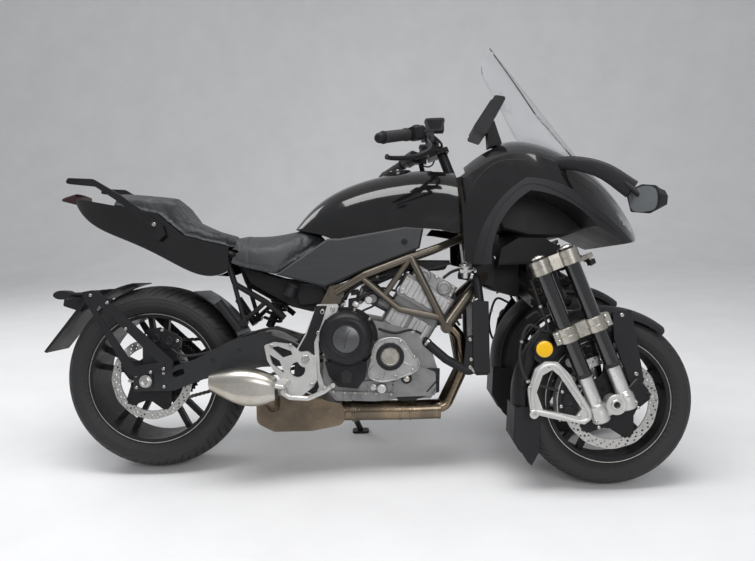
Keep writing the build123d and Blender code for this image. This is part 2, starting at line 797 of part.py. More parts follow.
pivot_plate_outline = (
    (588, plate_top_z), (664, plate_top_z), (648, 530), (612, 512), (590, 440), (592, 340),
    (606, 290), (580, 256),
    (512, 290), (500, 330), (506, 400), (548, 470),
)
hanger_outline = (
    (411, 435), (444, 445), (500, 436), (530, 410), (555, 412), (582, 392), (583, 315), (568, 292),
    (530, 264),
    (469, 270), (466, 319), (440, 351), (420, 385),
)
hanger_windows = (
    ((434, 428), (457, 431), (500, 414), (504, 402), (473, 393)),
    ((428, 405), (461, 383), (476, 341), (437, 372)),
)
hanger_hole = (520, 352, 25)
peg_x = 478.0
peg_z = 314.0
peg_length = 112.0
pedal_route = [(466, -188, 279), (493, -190, 262), (553, -190, 257), (607, -196, 280), (640, -204, 306)]
pedal_radius = 8.0
with BuildPart() as hanger:
    add(slab(pivot_plate_outline, -plate_inner - plate_thickness, -plate_inner, 8))
    with BuildSketch(Plane.XZ.offset(plate_inner + plate_thickness)):
        with BuildLine():
            Polyline(*hanger_outline, close=True)
        make_face()
        fillet(vertices(), 7)
        for window in hanger_windows:
            with BuildLine():
                Polyline(*window, close=True)
            make_face(mode=Mode.SUBTRACT)
    extrude(amount=hanger_thickness)
    with BuildSketch(Plane.XZ.offset(plate_inner)):
        with Locations(hanger_hole[:2]):
            Circle(hanger_hole[2])
    extrude(amount=plate_thickness + hanger_thickness, mode=Mode.SUBTRACT)
    with BuildSketch(Plane.XZ.offset(plate_inner)):
        with Locations((pivot_x, pivot_z)):
            Circle(pivot_tube_radius + 4)
    extrude(amount=plate_thickness + hanger_thickness + 8)
    with BuildSketch(Plane.XZ.offset(plate_inner + plate_thickness + 4)):
        with Locations((pivot_x, pivot_z)):
            Circle(9)
    extrude(amount=30, mode=Mode.SUBTRACT)
    with BuildSketch(Plane.XZ.offset(plate_inner + plate_thickness)):
        with Locations((peg_x, peg_z)):
            SlotOverall(38, 20, rotation=-10)
    extrude(amount=peg_length, taper=1.5)
    add(tube(pedal_route, pedal_radius, 14))
    plate_face = -plate_inner - plate_thickness
    add(cross_pin(pedal_route[0][0] + 6, pedal_route[0][2], 9, plate_face - 26, plate_face))
    add(cross_pin(pedal_route[-1][0], pedal_route[-1][2], 8, pedal_route[-1][1] - 34, pedal_route[-1][1]))
keep("pivot_plates", both_sides(hanger.part))

# Swingarm with the hollow rear axle, the rear caliper and the front half of the hugger

arm_outline = (
    (-44, 352), (46, 354), (164, 388), (285, 448), (395, 476), (500, 440), (pivot_x, pivot_z + 28),
    (pivot_x, pivot_z - 24), (392, 358), (196, 322), (93, 286), (-44, 286),
)
axle_z = rear_tyre_radius
hugger_inner = rear_tyre_radius + 14
hugger_wall = 4.0
hugger_half = 100.0
hugger_front = 20.0
hugger_top = 62.0


def hugger_points(start, stop, steps=6):
    """The mudguard's section over the rear tyre, angles in degrees from straight ahead."""
    angles = [radians(start + (stop - start) * step / steps) for step in range(steps + 1)]
    hugger_outer = hugger_inner + hugger_wall
    outer = [(hugger_outer * cos(a), axle_z + hugger_outer * sin(a)) for a in angles]
    return outer + [(hugger_inner * cos(a), axle_z + hugger_inner * sin(a)) for a in reversed(angles)]


with BuildPart() as swingarm:
    for inner in (swingarm_right_inner, -swingarm_left_inner - swingarm_wall):
        with BuildSketch(Plane.XZ.offset(inner)):
            with BuildLine():
                Polyline(*arm_outline, close=True)
            make_face()
            fillet(vertices().sort_by(Axis.X)[2:], 14)
            with Locations((110, 345)):
                SlotOverall(44, 20, rotation=20, mode=Mode.SUBTRACT)
        extrude(amount=swingarm_wall)
    add(cross_pin(pivot_x, pivot_z, pivot_tube_radius, fit_gap - plate_inner, plate_inner - fit_gap))
    for low_y in (-swingarm_right_inner - swingarm_wall, swingarm_left_inner):
        add(cross_pin(pivot_x, pivot_z, pivot_tube_radius + 7, low_y, low_y + swingarm_wall))
    with BuildSketch(Plane.XZ.offset(-chain_offset + chain_width)):
        with BuildLine():
            Polyline((346, 392), (356, 462), (400, 470), (500, 434), (500, 372), close=True)
        make_face()
        fillet(vertices(), 12)
    extrude(amount=chain_offset - chain_width + swingarm_right_inner)
    with BuildSketch(Plane.XZ.offset(-rear_axle_half - 6)):
        with Locations((0, axle_z)):
            Circle(axle_radius)
    extrude(amount=2 * rear_axle_half)
    for side_y in (swingarm_right_inner + swingarm_wall, -swingarm_left_inner - swingarm_wall - 6):
        with BuildSketch(Plane.XZ.offset(side_y)):
            with Locations((0, axle_z)):
                Rectangle(46, 46)
        extrude(amount=6)
    with BuildSketch(Plane.XZ.offset(rear_disc_offset - 12)):
        with BuildLine():
            Polyline(
                (8, axle_z + 96), (-16, axle_z + 150), (40, axle_z + 162), (104, axle_z + 138),
                (96, axle_z + 62),
                (40, axle_z + 60), close=True,
            )
        make_face()
        fillet(vertices(), 8)
    extrude(amount=swingarm_right_inner - rear_disc_offset + 12)
    add(slab(
        ((-24, 300), (-20, 460), (100, 450), (60, 300)), -swingarm_right_inner, -swingarm_right_inner + 14, 8,
    ))
    with BuildSketch(Plane.XZ.offset(rear_disc_offset - disc_clearance)):
        with Locations((0, axle_z)):
            Circle(rear_disc_radius + disc_clearance)
            Circle(axle_radius + 10, mode=Mode.SUBTRACT)
    extrude(amount=disc_thickness + 2 * disc_clearance, mode=Mode.SUBTRACT)
    with BuildSketch(Plane.XZ.offset(-rear_axle_half - 8)):
        with Locations((0, axle_z)):
            Circle(axle_bore_radius)
    extrude(amount=2 * rear_axle_half + 20, mode=Mode.SUBTRACT)
    with BuildSketch(Plane.XZ.offset(-hugger_half)):
        with BuildLine():
            Polyline(*hugger_points(hugger_front, hugger_top), close=True)
        make_face()
    extrude(amount=2 * hugger_half)
    add(slab(((300, 446), (296, 462), (372, 470), (372, 444)), -70, 70))
keep("swingarm", swingarm.part)

# Chain: side plates and a core between them, round both sprockets


def chain_band(half_height, low_y, width):
    """A closed loop of the chain's run, half_height above and below its pitch line."""
    with BuildSketch(Plane.XZ.offset(-low_y - width)) as hole:
        with Locations((0, axle_z)):
            Circle(rear_sprocket_radius - half_height)
        with Locations((front_sprocket_x, front_sprocket_z)):
            Circle(front_sprocket_radius - half_height)
        make_hull()
    with BuildPart() as band:
        with BuildSketch(Plane.XZ.offset(-low_y - width)):
            with Locations((0, axle_z)):
                Circle(rear_sprocket_radius + half_height)
            with Locations((front_sprocket_x, front_sprocket_z)):
                Circle(front_sprocket_radius + half_height)
            make_hull()
            add(hole.sketch, mode=Mode.SUBTRACT)
        extrude(amount=width)
    return band.part


side_plate_width = chain_width * 0.3
chain_low_y = chain_offset - chain_width / 2
with BuildPart() as drive_chain:
    add(chain_band(chain_height / 2, chain_low_y, side_plate_width))
    add(chain_band(chain_height / 2, chain_low_y + chain_width - side_plate_width, side_plate_width))
    add(chain_band(2.4, chain_low_y, chain_width))
    add(
        sprocket(front_sprocket_radius + 3, front_sprocket_teeth, chain_offset, 8).moved(
            Location((front_sprocket_x, 0, front_sprocket_z))
        )
    )
keep("drive_chain", drive_chain.part)

# Seat rails with the grab rails and the folded pillion pegs

seat_rail_radius = 12.0
seat_rail = [(662, -141, 600), (480, -112, 688), (300, -92, 738), (100, -92, 792), (-60, -88, 850)]
seat_stay = [(268, -92, 742), (300, -100, 640), (408, -104, 574), (470, -110, 520)]
peg_stay_top = [(300, -104, 636), (332, -112, 512)]
peg_stay_front = [(404, -108, 574), (332, -112, 512)]
pillion_peg = [(318, -128, 486), (252, -142, 582)]
grab_rail_outline = (
    (-262, 998), (-250, 1016), (-165, 1010), (-70, 951), (66, 846), (74, 812), (50, 789), (36, 806),
    (20, 846),
    (-80, 930), (-160, 985),
)
grab_rail_inner = 122.0
grab_rail_thickness = 14.0
grab_boss_x = 52.0
grab_boss_z = 812.0
with BuildPart() as seat_frame_side:
    add(tube(seat_rail, seat_rail_radius, 60))
    add(tube(seat_stay, seat_rail_radius - 2, 24))
    add(tube(peg_stay_top, 8))
    add(tube(peg_stay_front, 8))
    add(tube(pillion_peg, 15))
    add(cross_pin(332, 508, 13, -140, -102))
    add(cross_pin(seat_rail[0][0], seat_rail[0][2], 15, fit_gap - 155, -132))
    add(cross_pin(grab_boss_x, grab_boss_z, 11, -grab_rail_inner - 2, -88))
    add(slab(grab_rail_outline, -grab_rail_inner - grab_rail_thickness, -grab_rail_inner, 7))
with BuildPart() as subframe:
    add(both_sides(seat_frame_side.part))
    for x, z in ((300, 738), (100, 792)):
        add(cross_pin(x, z, seat_rail_radius - 2, -94, 94))
keep("subframe", subframe.part)

# Engine: crankcase, inclined cylinders, head and cam cover, with the silver right-hand crank cover

crankcase_half = 150.0
cylinder_foot = (860, 440)
cylinder_direction = (0.53, 0.848)
crankcase_outline = (
    (600, 300), (604, 420), (622, 508), (700, 522), (800, 500), (905, 470), (960, 420), (985, 330),
    (960, 240),
    (640, 240),
)
crank_cover_outline = (
    (770, 430), (800, 452), (860, 450), (895, 420), (912, 385), (900, 350), (850, 322), (800, 318),
    (768, 345),
)
crank_cover_depth = 36.0
crank_ring_radius = 38.0
crank_centre = (826, 392)
stand_pivot = Vector(640, 130, 220)
stand_axis_angle = 24.0
stand_axis = Vector(0, cos(radians(stand_axis_angle)), sin(radians(stand_axis_angle)))
stand_eye_radius = 17.0
stand_eye_length = 16.0
stand_pin_radius = 6.0
stand_lug_thickness = 12.0
cylinder_blocks = (
    # start along the bore, length, half width across, half length along y
    (0, 130, 85, 138),
    (128, 76, 95, crankcase_half),
    (202, 44, 80, crankcase_half - 6),
)
bore_plane = Plane(
    origin=(cylinder_foot[0], 0, cylinder_foot[1]),
    x_dir=(0, 1, 0),
    z_dir=(cylinder_direction[0], 0, cylinder_direction[1]),
)
with BuildPart() as engine_block:
    add(slab(crankcase_outline, -crankcase_half, crankcase_half, 12))
    for start, length, half_width, half_length in cylinder_blocks:
        with BuildSketch(bore_plane.offset(start)):
            RectangleRounded(2 * half_length, 2 * half_width, 12)
        extrude(amount=length)
    for fin in range(5):
        with BuildSketch(bore_plane.offset(96 + 7 * fin)):
            RectangleRounded(2 * crankcase_half - 6, 176, 14)
        extrude(amount=3)
    add(slab(crank_cover_outline, -crankcase_half - crank_cover_depth, -crankcase_half, 10))
    add(cross_pin(*crank_centre, crank_ring_radius, -crankcase_half - crank_cover_depth - 8, -crankcase_half))
    with BuildSketch(Plane.XZ.offset(crankcase_half + crank_cover_depth + 4)):
        with Locations(crank_centre):
            Circle(crank_ring_radius - 9)
    extrude(amount=10, mode=Mode.SUBTRACT)
    add(slab(
        ((830, 250), (975, 252), (975, 330), (905, 356), (836, 300)),
        -crankcase_half - 12, -crankcase_half, 12,
    ))
    with BuildSketch(Plane.XZ.offset(-chain_offset + chain_width)):
        with Locations((front_sprocket_x, front_sprocket_z)):
            Circle(front_sprocket_radius + chain_height + 8)
        with Locations((front_sprocket_x - 50, front_sprocket_z)):
            Rectangle(110, 2 * (front_sprocket_radius + chain_height + 8))
    extrude(amount=chain_offset - chain_width - crankcase_half, mode=Mode.SUBTRACT)
    stand_lug = Plane(
        origin=stand_pivot - stand_axis * (stand_eye_length / 2 + fit_gap + stand_lug_thickness),
        x_dir=(1, 0, 0),
        z_dir=stand_axis,
    )
    with BuildSketch(stand_lug):
        Circle(stand_eye_radius - 1)
        with Locations((0, -18)):
            Rectangle(2 * stand_eye_radius - 2, 36)
        Circle(stand_pin_radius + running_gap, mode=Mode.SUBTRACT)
    extrude(amount=stand_lug_thickness)
keep("engine_block", engine_block.part)

clutch_centre = (686, 452)
clutch_radius = 84.0
clutch_depth = 74.0
with BuildPart() as clutch_cover:
    with BuildSketch(Plane.XZ.offset(crankcase_half + fit_gap)):
        with Locations(clutch_centre):
            Circle(clutch_radius)
        with Locations((clutch_centre[0] + 8, clutch_centre[1] - 74)):
            RectangleRounded(86, 74, 16)
    extrude(amount=28)
    with BuildSketch(Plane.XZ.offset(crankcase_half + fit_gap)):
        with Locations(clutch_centre):
            Circle(clutch_radius - 4)
    extrude(amount=clutch_depth)
    fillet(faces().sort_by(Axis.Y)[0].edges(), 14)
    with BuildSketch(Plane.XZ.offset(crankcase_half + fit_gap + clutch_depth)):
        with Locations(clutch_centre):
            Circle(44)
    extrude(amount=5)
    add(
        slab(crank_cover_outline, -crankcase_half - crank_cover_depth - 8, -crankcase_half),
        mode=Mode.SUBTRACT,
    )
keep("clutch_cover", clutch_cover.part)

# Radiator with its side tanks and hoses

radiator_rear = 1112.0
radiator_depth = 30.0
radiator_low = 322.0
radiator_high = 556.0
radiator_half = 152.0
hose_radius = 15.0
lower_hose = [(1120, -166, 350), (1084, -168, 330), (1010, -166, 372), (952, -150, 424), (930, -120, 440)]
upper_hose = [(1128, -160, 552), (1120, -150, 640), (1068, -120, 650)]
radiator_middle = (radiator_low + radiator_high) / 2
radiator_height = radiator_high - radiator_low
core_recess = 5.0
core_margin = 12.0
with BuildPart() as radiator:
    with Locations((radiator_rear + radiator_depth / 2, 0, radiator_middle)):
        Box(radiator_depth, 2 * radiator_half, radiator_height)
        Box(
            radiator_depth, 2 * (radiator_half - core_margin), radiator_height - 2 * core_margin,
            mode=Mode.SUBTRACT,
        )
        Box(radiator_depth - 2 * core_recess, 2 * radiator_half, radiator_height)
    for side in (-1, 1):
        with BuildSketch(Plane.XY.offset(radiator_low - 4)):
            with Locations((radiator_rear + radiator_depth / 2, side * (radiator_half + 14))):
                RectangleRounded(radiator_depth + 10, 30, 6)
        extrude(amount=radiator_height + 8)
    for hose in (lower_hose, upper_hose):
        add(tube(hose, hose_radius, 20))
    add(engine_block.part, mode=Mode.SUBTRACT)
keep("radiator", radiator.part)

# Exhaust: three headers, collector, chamber under the engine and the short silencer

header_radius = 19.0
collector_radius = 33.0
chamber_outline = (
    (372, 170), (372, 246), (430, 262), (540, 262), (624, 236), (668, 230), (668, 160), (560, 140),
    (430, 140),
)
with BuildPart() as exhaust_pipes:
    for port_y, gather in ((-95, 0), (0, 8), (95, 16)):
        add(tube(
            [
                (1036, port_y, 474), (1064, port_y, 440), (1072, -60 + port_y / 3, 330),
                (1010 - gather, -96, 205), (940, -110, 196),
            ],
            header_radius, 34,
        ))
    add(tube([(990, -108, 197), (900, -110, 196), (560, -96, 196)], collector_radius, 60))
    add(slab(chamber_outline, -146, 40, 28))
    add(tube([(430, -130, 226), (420, -172, 262), (400, -196, 300)], 26, 44))
keep("exhaust_pipes", exhaust_pipes.part)

muffler_y = -198.0
muffler_stations = (
    # x, half height, half width, z
    (236, 26, 32, 322),
    (272, 42, 42, 315),
    (338, 60, 50, 305),
    (404, 56, 46, 298),
    (450, 36, 32, 292),
)
with BuildPart() as muffler:
    for x, half_height, half_width, z in muffler_stations:
        with BuildSketch(Plane.YZ.offset(x)):
            with Locations((muffler_y, z)):
                RectangleRounded(2 * half_width, 2 * half_height, 0.85 * min(half_width, half_height))
    loft()
    with BuildSketch(Plane(origin=(250, -200, 316), x_dir=(0, 1, 0), z_dir=(-1, 0, 0.12))):
        Ellipse(22, 17)
    extrude(amount=40, both=True, mode=Mode.SUBTRACT)
    add(exhaust_pipes.part, mode=Mode.SUBTRACT)
keep("muffler", muffler.part)

# Fuel tank and the panels under its edges

tank_stations = (
    # x, low, shoulder, top, half low, half shoulder, bulge
    (510, 800, 822, 836, 60, 62, 2),
    (640, 770, 850, 950, 120, 118, 4),
    (800, 760, 880, 1004, 152, 148, 6),
    (985, 760, 890, 1022, 172, 162, 8),
    (1066, 760, 890, 1012, 180, 172, 8),
)
tank_floor = ((480, 829), (600, 800), (640, 783), (672, 781), (887, 813), (1000, 800), (1100, 780))
with BuildPart() as fuel_tank:
    add(lofted_body(tank_stations))
    add(slab(tank_floor + ((1100, 700), (480, 700)), -260, 260), mode=Mode.SUBTRACT)
    add(slab(((975, 700), (975, 850), (1100, 850), (1100, 700)), -150, 150), mode=Mode.SUBTRACT)
    add(slab(((990, 700), (990, 1100), (1100, 1100), (1100, 700)), -58, 58), mode=Mode.SUBTRACT)
    with BuildSketch(Plane(origin=(868, 0, 1000), x_dir=(1, 0, 0.1), z_dir=(-0.1, 0, 1))):
        Circle(48)
    extrude(amount=16)
keep("fuel_tank", fuel_tank.part)

panel_outline = (
    (455, 668 - fit_gap), (630, 782 - fit_gap), (672, 781 - fit_gap), (887, 813 - fit_gap),
    (948, 806 - fit_gap),
    (934, 742), (897, 727), (752, 676), (668, 640), (618, 622),
)
with BuildPart() as side_panel:
    add(slab(panel_outline, -178, -148))
    chamfer(faces().sort_by(Axis.Y)[0].edges(), 6)
keep("side_panels", both_sides(side_panel.part))

# Seats: plain closed forms that keep clear of the tank and panels

seat_stations = (
    (292, 640, 760, 808, 150, 118, 4),
    (370, 640, 755, 803, 160, 140, 6),
    (450, 640, 760, 807, 158, 138, 6),
    (560, 640, 790, 822, 120, 92, 4),
    (622, 640, 780, 797, 84, 60, 3),
)
seat_floor = ((280, 716), (332, 698), (450, 669), (628, 784), (640, 784))
with BuildPart() as rider_seat:
    add(lofted_body(seat_stations))
    add(slab(seat_floor + ((640, 600), (280, 600)), -220, 220), mode=Mode.SUBTRACT)
    add(
        slab(((270, 600), (270, 762), (330, 754), (400, 736), (700, 700), (700, 600)), -128, 128),
        mode=Mode.SUBTRACT,
    )
    add(slab(((505, 821), (600, 798), (640, 781), (660, 900), (505, 900)), -220, 220), mode=Mode.SUBTRACT)
keep("rider_seat", rider_seat.part)

cushion_stations = (
    (-128, 830, 945, 974, 92, 70, 3),
    (60, 800, 928, 952, 106, 90, 4),
    (288, 700, 880, 912, 112, 104, 4),
)
cushion_slope = ((84, 946), (140, 866), (210, 832), (288, 808))
cowl_rim = ((-330, 970), (-128, 926), (39, 890), (135, 808), (330, 756))
with BuildPart() as pillion_seat:
    add(lofted_body(cushion_stations))
    rim_cut = tuple((x, z + fit_gap) for x, z in cowl_rim)
    add(slab(rim_cut + ((330, 600), (-330, 600)), -200, 200), mode=Mode.SUBTRACT)
    add(slab(cushion_slope + ((300, 1000), (84, 1000)), -200, 200), mode=Mode.SUBTRACT)
keep("pillion_seat", pillion_seat.part)

# Tail: a shell open above, with the lamp closing its end and the plate holder below

tail_stations = (
    (-262, 934, 975, 978, 58, 58, 2),
    (-150, 836, 960, 966, 96, 92, 4),
    (50, 742, 905, 912, 112, 106, 6),
    (200, 672, 830, 836, 122, 112, 6),
    (286, 686, 790, 796, 126, 114, 4),
)


def inside(stations, wall):
    """The same sections drawn a wall thickness inside."""
    return [
        (x, low + wall, shoulder - wall / 2, top - wall, half_low - wall, half_shoulder - wall, bulge)
        for x, low, shoulder, top, half_low, half_shoulder, bulge in stations
    ]


with BuildPart() as tail_cowl:
    add(lofted_body(tail_stations))
    add(lofted_body(inside(tail_stations, cowl_wall)), mode=Mode.SUBTRACT)
    add(slab(cowl_rim + ((330, 1100), (-330, 1100)), -200, 200), mode=Mode.SUBTRACT)
    for side in (-1, 1):
        add(cross_pin(grab_boss_x, grab_boss_z, 12, side * 115 - 25, side * 115 + 25), mode=Mode.SUBTRACT)
    add(slab(((200, 600), (200, 770), (400, 770), (400, 600)), -112, 112), mode=Mode.SUBTRACT)
keep("tail_cowl", tail_cowl.part)

lamp_stations = (
    (-326, 952, 962, 968, 34, 30, 1),
    (-262 - fit_gap, 934, 972, 975, 58, 58, 2),
)
keep("tail_lamp", lofted_body(lamp_stations))

holder_outline = ((-40, 338), (92, 360), (98, 386), (-150, 628), (-206, 628), (-196, 596), (-60, 352))
holder_window = ((-34, 372), (48, 384), (-150, 584), (-160, 566))
holder_thickness = 6.0
holder_right_face = -swingarm_right_inner - swingarm_wall - 6 - fit_gap
holder_left_face = swingarm_left_inner + swingarm_wall + 6 + fit_gap
rear_guard_start = 100.0
rear_guard_stop = 123.0
rear_guard_half = 84.0
indicator_reach = 196.0
blade_top = (-226, 612)
blade_foot = (-381, 424)
blade_half = 78.0
blade_run = Vector(blade_foot[0] - blade_top[0], 0, blade_foot[1] - blade_top[1])
blade_face = Plane((blade_top[0], 0, blade_top[1]), x_dir=(0, 1, 0), z_dir=Vector(0, 1, 0).cross(blade_run))
plate_pad_start = 96.0
plate_pad_width = 120.0
plate_pad_length = 140.0
plate_pad_rise = 1.5
with BuildPart() as plate_holder:
    add(slab(hugger_points(rear_guard_start, rear_guard_stop), -rear_guard_half, rear_guard_half))
    add(slab(((-170, 608), (-166, 634), (-206, 628), (-206, 604)), -rear_guard_half, rear_guard_half))
    for low_y in (holder_right_face - holder_thickness, holder_left_face):
        with BuildSketch(Plane.XZ.offset(-low_y - holder_thickness)):
            with BuildLine():
                Polyline(*holder_outline, close=True)
            make_face()
            fillet(vertices(), 10)
            with BuildLine():
                Polyline(*holder_window, close=True)
            make_face(mode=Mode.SUBTRACT)
        extrude(amount=holder_thickness)
    add(slab(
        ((-206, 604), (-206, 628), (-166, 634), (-178, 606)), holder_right_face - 2, holder_left_face + 2, 5,
    ))
    add(slab(((-318, 580), (-312, 612), (-190, 618), (-200, 586), (-250, 556)), -62, 62, 6))
    add(slab(((-216, 604), (-375, 418), blade_foot, blade_top), -blade_half, blade_half))
    with BuildSketch(blade_face.offset(-1)):
        with Locations((0, plate_pad_start + plate_pad_length / 2)):
            Rectangle(plate_pad_width, plate_pad_length)
    extrude(amount=1 + plate_pad_rise)
    add(tube([(-245, -indicator_reach + 30, 618), (-245, indicator_reach - 30, 618)], 9))
    for side in (-1, 1):
        with BuildSketch(Plane.XZ.offset(side * (indicator_reach - 17) - 17)):
            with Locations((-250, 620)):
                Ellipse(30, 15)
        extrude(amount=34)
keep("plate_holder", plate_holder.part)

# Front cowl: a shell over the two wheel arches, with its liner, lamps, screen and mirrors

cowl_stations = (
    # x, low, shoulder, top, half low, half shoulder, bulge
    (1072, 690, 962, 1020, 235, 188, 12),
    (1160, 680, 1012, 1082, 278, 203, 14),
    *ahead(
        (-210, 690, 1034, 1112, 293, 200, 14),
        (-60, 710, 968, 1058, 283, 192, 12),
        (60, 730, 886, 962, 232, 150, 10),
        (140, 745, 806, 862, 140, 92, 6),
        (172, 765, 792, 818, 62, 42, 3),
    ),
)
arch_outer = ahead((-411, 689), (-360, 835), (-232, 955), (-130, 934), (-18, 855), (130, 735), (210, 735))
arch_inner = ahead((-358, 678), (-326, 808), (-222, 911), (-118, 878), (-20, 793), (122, 712), (210, 712))
cockpit_half = 128.0
cowl_mouth = ((1030, 640), (1030, 760), (1210, 760), (1210, 640))
cowl_mouth_half = 215.0
cockpit_front = 1212.0
lamp_window = ((46, 800), (172, 846), (186, 806), (150, 776), (58, 768))


def arch_prism(points, grow=0.0):
    """The open wheel arch, cut right across: two arcs, then straight runs to the nose."""
    start, rear, crown, front, chin, nose, end = points
    with BuildPart() as prism:
        with BuildSketch(Plane.XZ.offset(-320)):
            with BuildLine():
                ThreePointArc(start, rear, crown)
                ThreePointArc(crown, front, chin)
                Polyline(chin, nose, end, (end[0], 560), (start[0], 560), start)
            make_face()
            if grow:
                offset(amount=grow, kind=Kind.INTERSECTION)
        extrude(amount=640)
    return prism.part


def lamp_prisms(grow):
    """Both headlamp openings, cut straight back from the front."""
    with BuildPart() as prisms:
        for side in (-1, 1):
            with BuildSketch(Plane.YZ.offset(wheelbase - 10)):
                with BuildLine():
                    Polyline(*[(side * y, z) for y, z in lamp_window], close=True)
                make_face()
                if grow:
                    offset(amount=grow)
            extrude(amount=220)
    return prisms.part


cowl_outer = lofted_body(cowl_stations)
cowl_inner = lofted_body(inside(cowl_stations, cowl_wall))
trim_inner = lofted_body(inside(cowl_stations, trim_wall))
arch_opening = arch_prism(arch_outer)
arch_void = arch_prism(arch_inner)
with BuildPart() as front_cowl:
    add(cowl_outer)
    add(cowl_inner, mode=Mode.SUBTRACT)
    add(arch_opening, mode=Mode.SUBTRACT)
    with Locations(((1000 + cockpit_front) / 2, 0, 1100)):
        Box(cockpit_front - 1000, 2 * cockpit_half, 400, mode=Mode.SUBTRACT)
    with Locations((1060, 0, 800)):
        Box(60, 2 * 180, 420, mode=Mode.SUBTRACT)
    add(slab(cowl_mouth, -cowl_mouth_half, cowl_mouth_half), mode=Mode.SUBTRACT)
    add(lamp_prisms(0), mode=Mode.SUBTRACT)
keep("front_cowl", front_cowl.part)

with BuildPart() as headlamps:
    add(cowl_outer)
    add(lofted_body(inside(cowl_stations, 3 * cowl_wall)), mode=Mode.SUBTRACT)
    add(lamp_prisms(-fit_gap), mode=Mode.INTERSECT)
keep("headlamps", headlamps.part)

liner_wall = 4.0
head_notch_half = 64.0
with BuildPart() as arch_band:
    add(cowl_outer)
    add(trim_inner, mode=Mode.SUBTRACT)
    add(arch_prism(arch_outer, -fit_gap), mode=Mode.INTERSECT)
    add(arch_void, mode=Mode.SUBTRACT)
    add(slab(cowl_mouth, -cowl_mouth_half, cowl_mouth_half), mode=Mode.SUBTRACT)
with BuildPart() as arch_liner:
    add(trim_inner)
    add(arch_prism(arch_inner, liner_wall), mode=Mode.INTERSECT)
    add(arch_void, mode=Mode.SUBTRACT)
    with Locations((1100, 0, 800)):
        Box(250, 2 * head_notch_half, 500, mode=Mode.SUBTRACT)
with BuildPart() as arch_trim:
    add(arch_band.part)
    add(arch_liner.part)
keep("arch_trim", arch_trim.part)

screen_foot = (wheelbase - 21, 0, 1056)
screen_rise = (-0.595, 0, 0.804)
screen_normal = (-0.804, 0, -0.595)
screen_radius = 260.0
screen_length = 472.0
screen_tuck = 110.0
screen_outline = ((-136, 110), (-166, -190), (-112, -472), (112, -472), (166, -190), (136, 110))
with BuildPart() as windscreen:
    with BuildSketch(Plane(origin=screen_foot, x_dir=(0, 1, 0), z_dir=screen_rise).offset(-screen_tuck)):
        with Locations((0, screen_radius)):
            Circle(screen_radius)
            Circle(screen_radius - screen_wall, mode=Mode.SUBTRACT)
        with Locations((0, 3 * screen_radius / 2)):
            Rectangle(4 * screen_radius, 2 * screen_radius, mode=Mode.SUBTRACT)
    extrude(amount=screen_length + screen_tuck)
    with BuildSketch(Plane(origin=screen_foot, x_dir=(0, 1, 0), z_dir=screen_normal)):
        with BuildLine():
            Polyline(*screen_outline, close=True)
        make_face()
        fillet(vertices().sort_by(Axis.Y)[:2], 55)
    extrude(amount=240, both=True, mode=Mode.INTERSECT)
    add(cowl_outer, mode=Mode.SUBTRACT)
keep("windscreen", windscreen.part)

instrument_outline = ((1130, 1146), (1210, 1262), (1250, 1255), (1176, 1128))
with BuildPart() as instrument:
    add(slab(instrument_outline, -88, 88, 8))
    add(slab(((1196, 1040), (1190, 1170), (1216, 1190), (1262, 1040)), -26, 26))
    add(cowl_outer, mode=Mode.SUBTRACT)
keep("instrument", instrument.part)

mirror_centre = (wheelbase + 82, -366, 856)
mirror_facing = (-0.976, -0.218, 0)
mirror_route = ahead((-125, -170, 1000), (-70, -235, 1000), (30, -300, 940), (78, -350, 872))
with BuildPart() as mirror_right:
    with BuildSketch(Plane(origin=mirror_centre, x_dir=(0.218, -0.976, 0), z_dir=mirror_facing)):
        with BuildLine():
            Polyline((-82, 36), (-60, -30), (30, -44), (72, -34), (80, 6), (60, 34), (0, 46), close=True)
        make_face()
        fillet(vertices(), 12)
    extrude(amount=-34, taper=24)
    with BuildSketch(Plane(origin=mirror_centre, x_dir=(0.218, -0.976, 0), z_dir=mirror_facing)):
        with BuildLine():
            Polyline((-82, 36), (-60, -30), (30, -44), (72, -34), (80, 6), (60, 34), (0, 46), close=True)
        make_face()
        fillet(vertices(), 12)
    extrude(amount=5)
    add(tube(mirror_route, 9, 24))
    add(cowl_outer, mode=Mode.SUBTRACT)
keep("mirrors", both_sides(mirror_right.part))

# Hood over the linkage, level like its arms

hood_outline = ahead((-318, 694), (-304, 760), (-248, 792), (-160, 788), (-110, 752), (-102, 694))
hood_half = 148.0
hood_wall = 4.0
hood_middle_z = 700.0
hood_shift = Location((0, hood_middle_z * sin(lean), rear_lift - hood_middle_z * (1 - cos(lean))))
hood_leg_foot = upper_arm_z * cos(lean) + arm_half_height + fit_gap + hood_middle_z * (1 - cos(lean))
with BuildPart() as hood_legs:
    for side in (-1, 1):
        for x in (arm_rear_x - arm_thickness / 2, arm_front_x + 4):
            with BuildSketch(Plane.XY.offset(hood_leg_foot)):
                with Locations((x, side * 128)):
                    Rectangle(8, 12)
            extrude(amount=120)
    add(
        slab(hood_outline + ahead((-102, hood_leg_foot), (-318, hood_leg_foot)), -hood_half, hood_half),
        mode=Mode.INTERSECT,
    )
with BuildPart() as linkage_cover:
    add(slab(hood_outline, -hood_half, hood_half))
    fillet(edges().filter_by(Axis.X).sort_by(Axis.Z)[-2:], 20)
    with BuildSketch(Plane.XZ.offset(-hood_half + hood_wall)):
        with BuildLine():
            Polyline(*ahead(
                (-314, 600), (-314, 693), (-300, 757), (-247, 788), (-161, 784), (-114, 750), (-106, 693),
                (-106, 600),
            ), close=True)
        make_face()
    extrude(amount=2 * (hood_half - hood_wall), mode=Mode.SUBTRACT)
    with Locations((wheelbase - 314, 0, 690)):
        Box(30, 160, 60, mode=Mode.SUBTRACT)
    add(hood_legs.part)
keep("linkage_cover", linkage_cover.part, hood_shift)

# Side stand on its tilted hinge

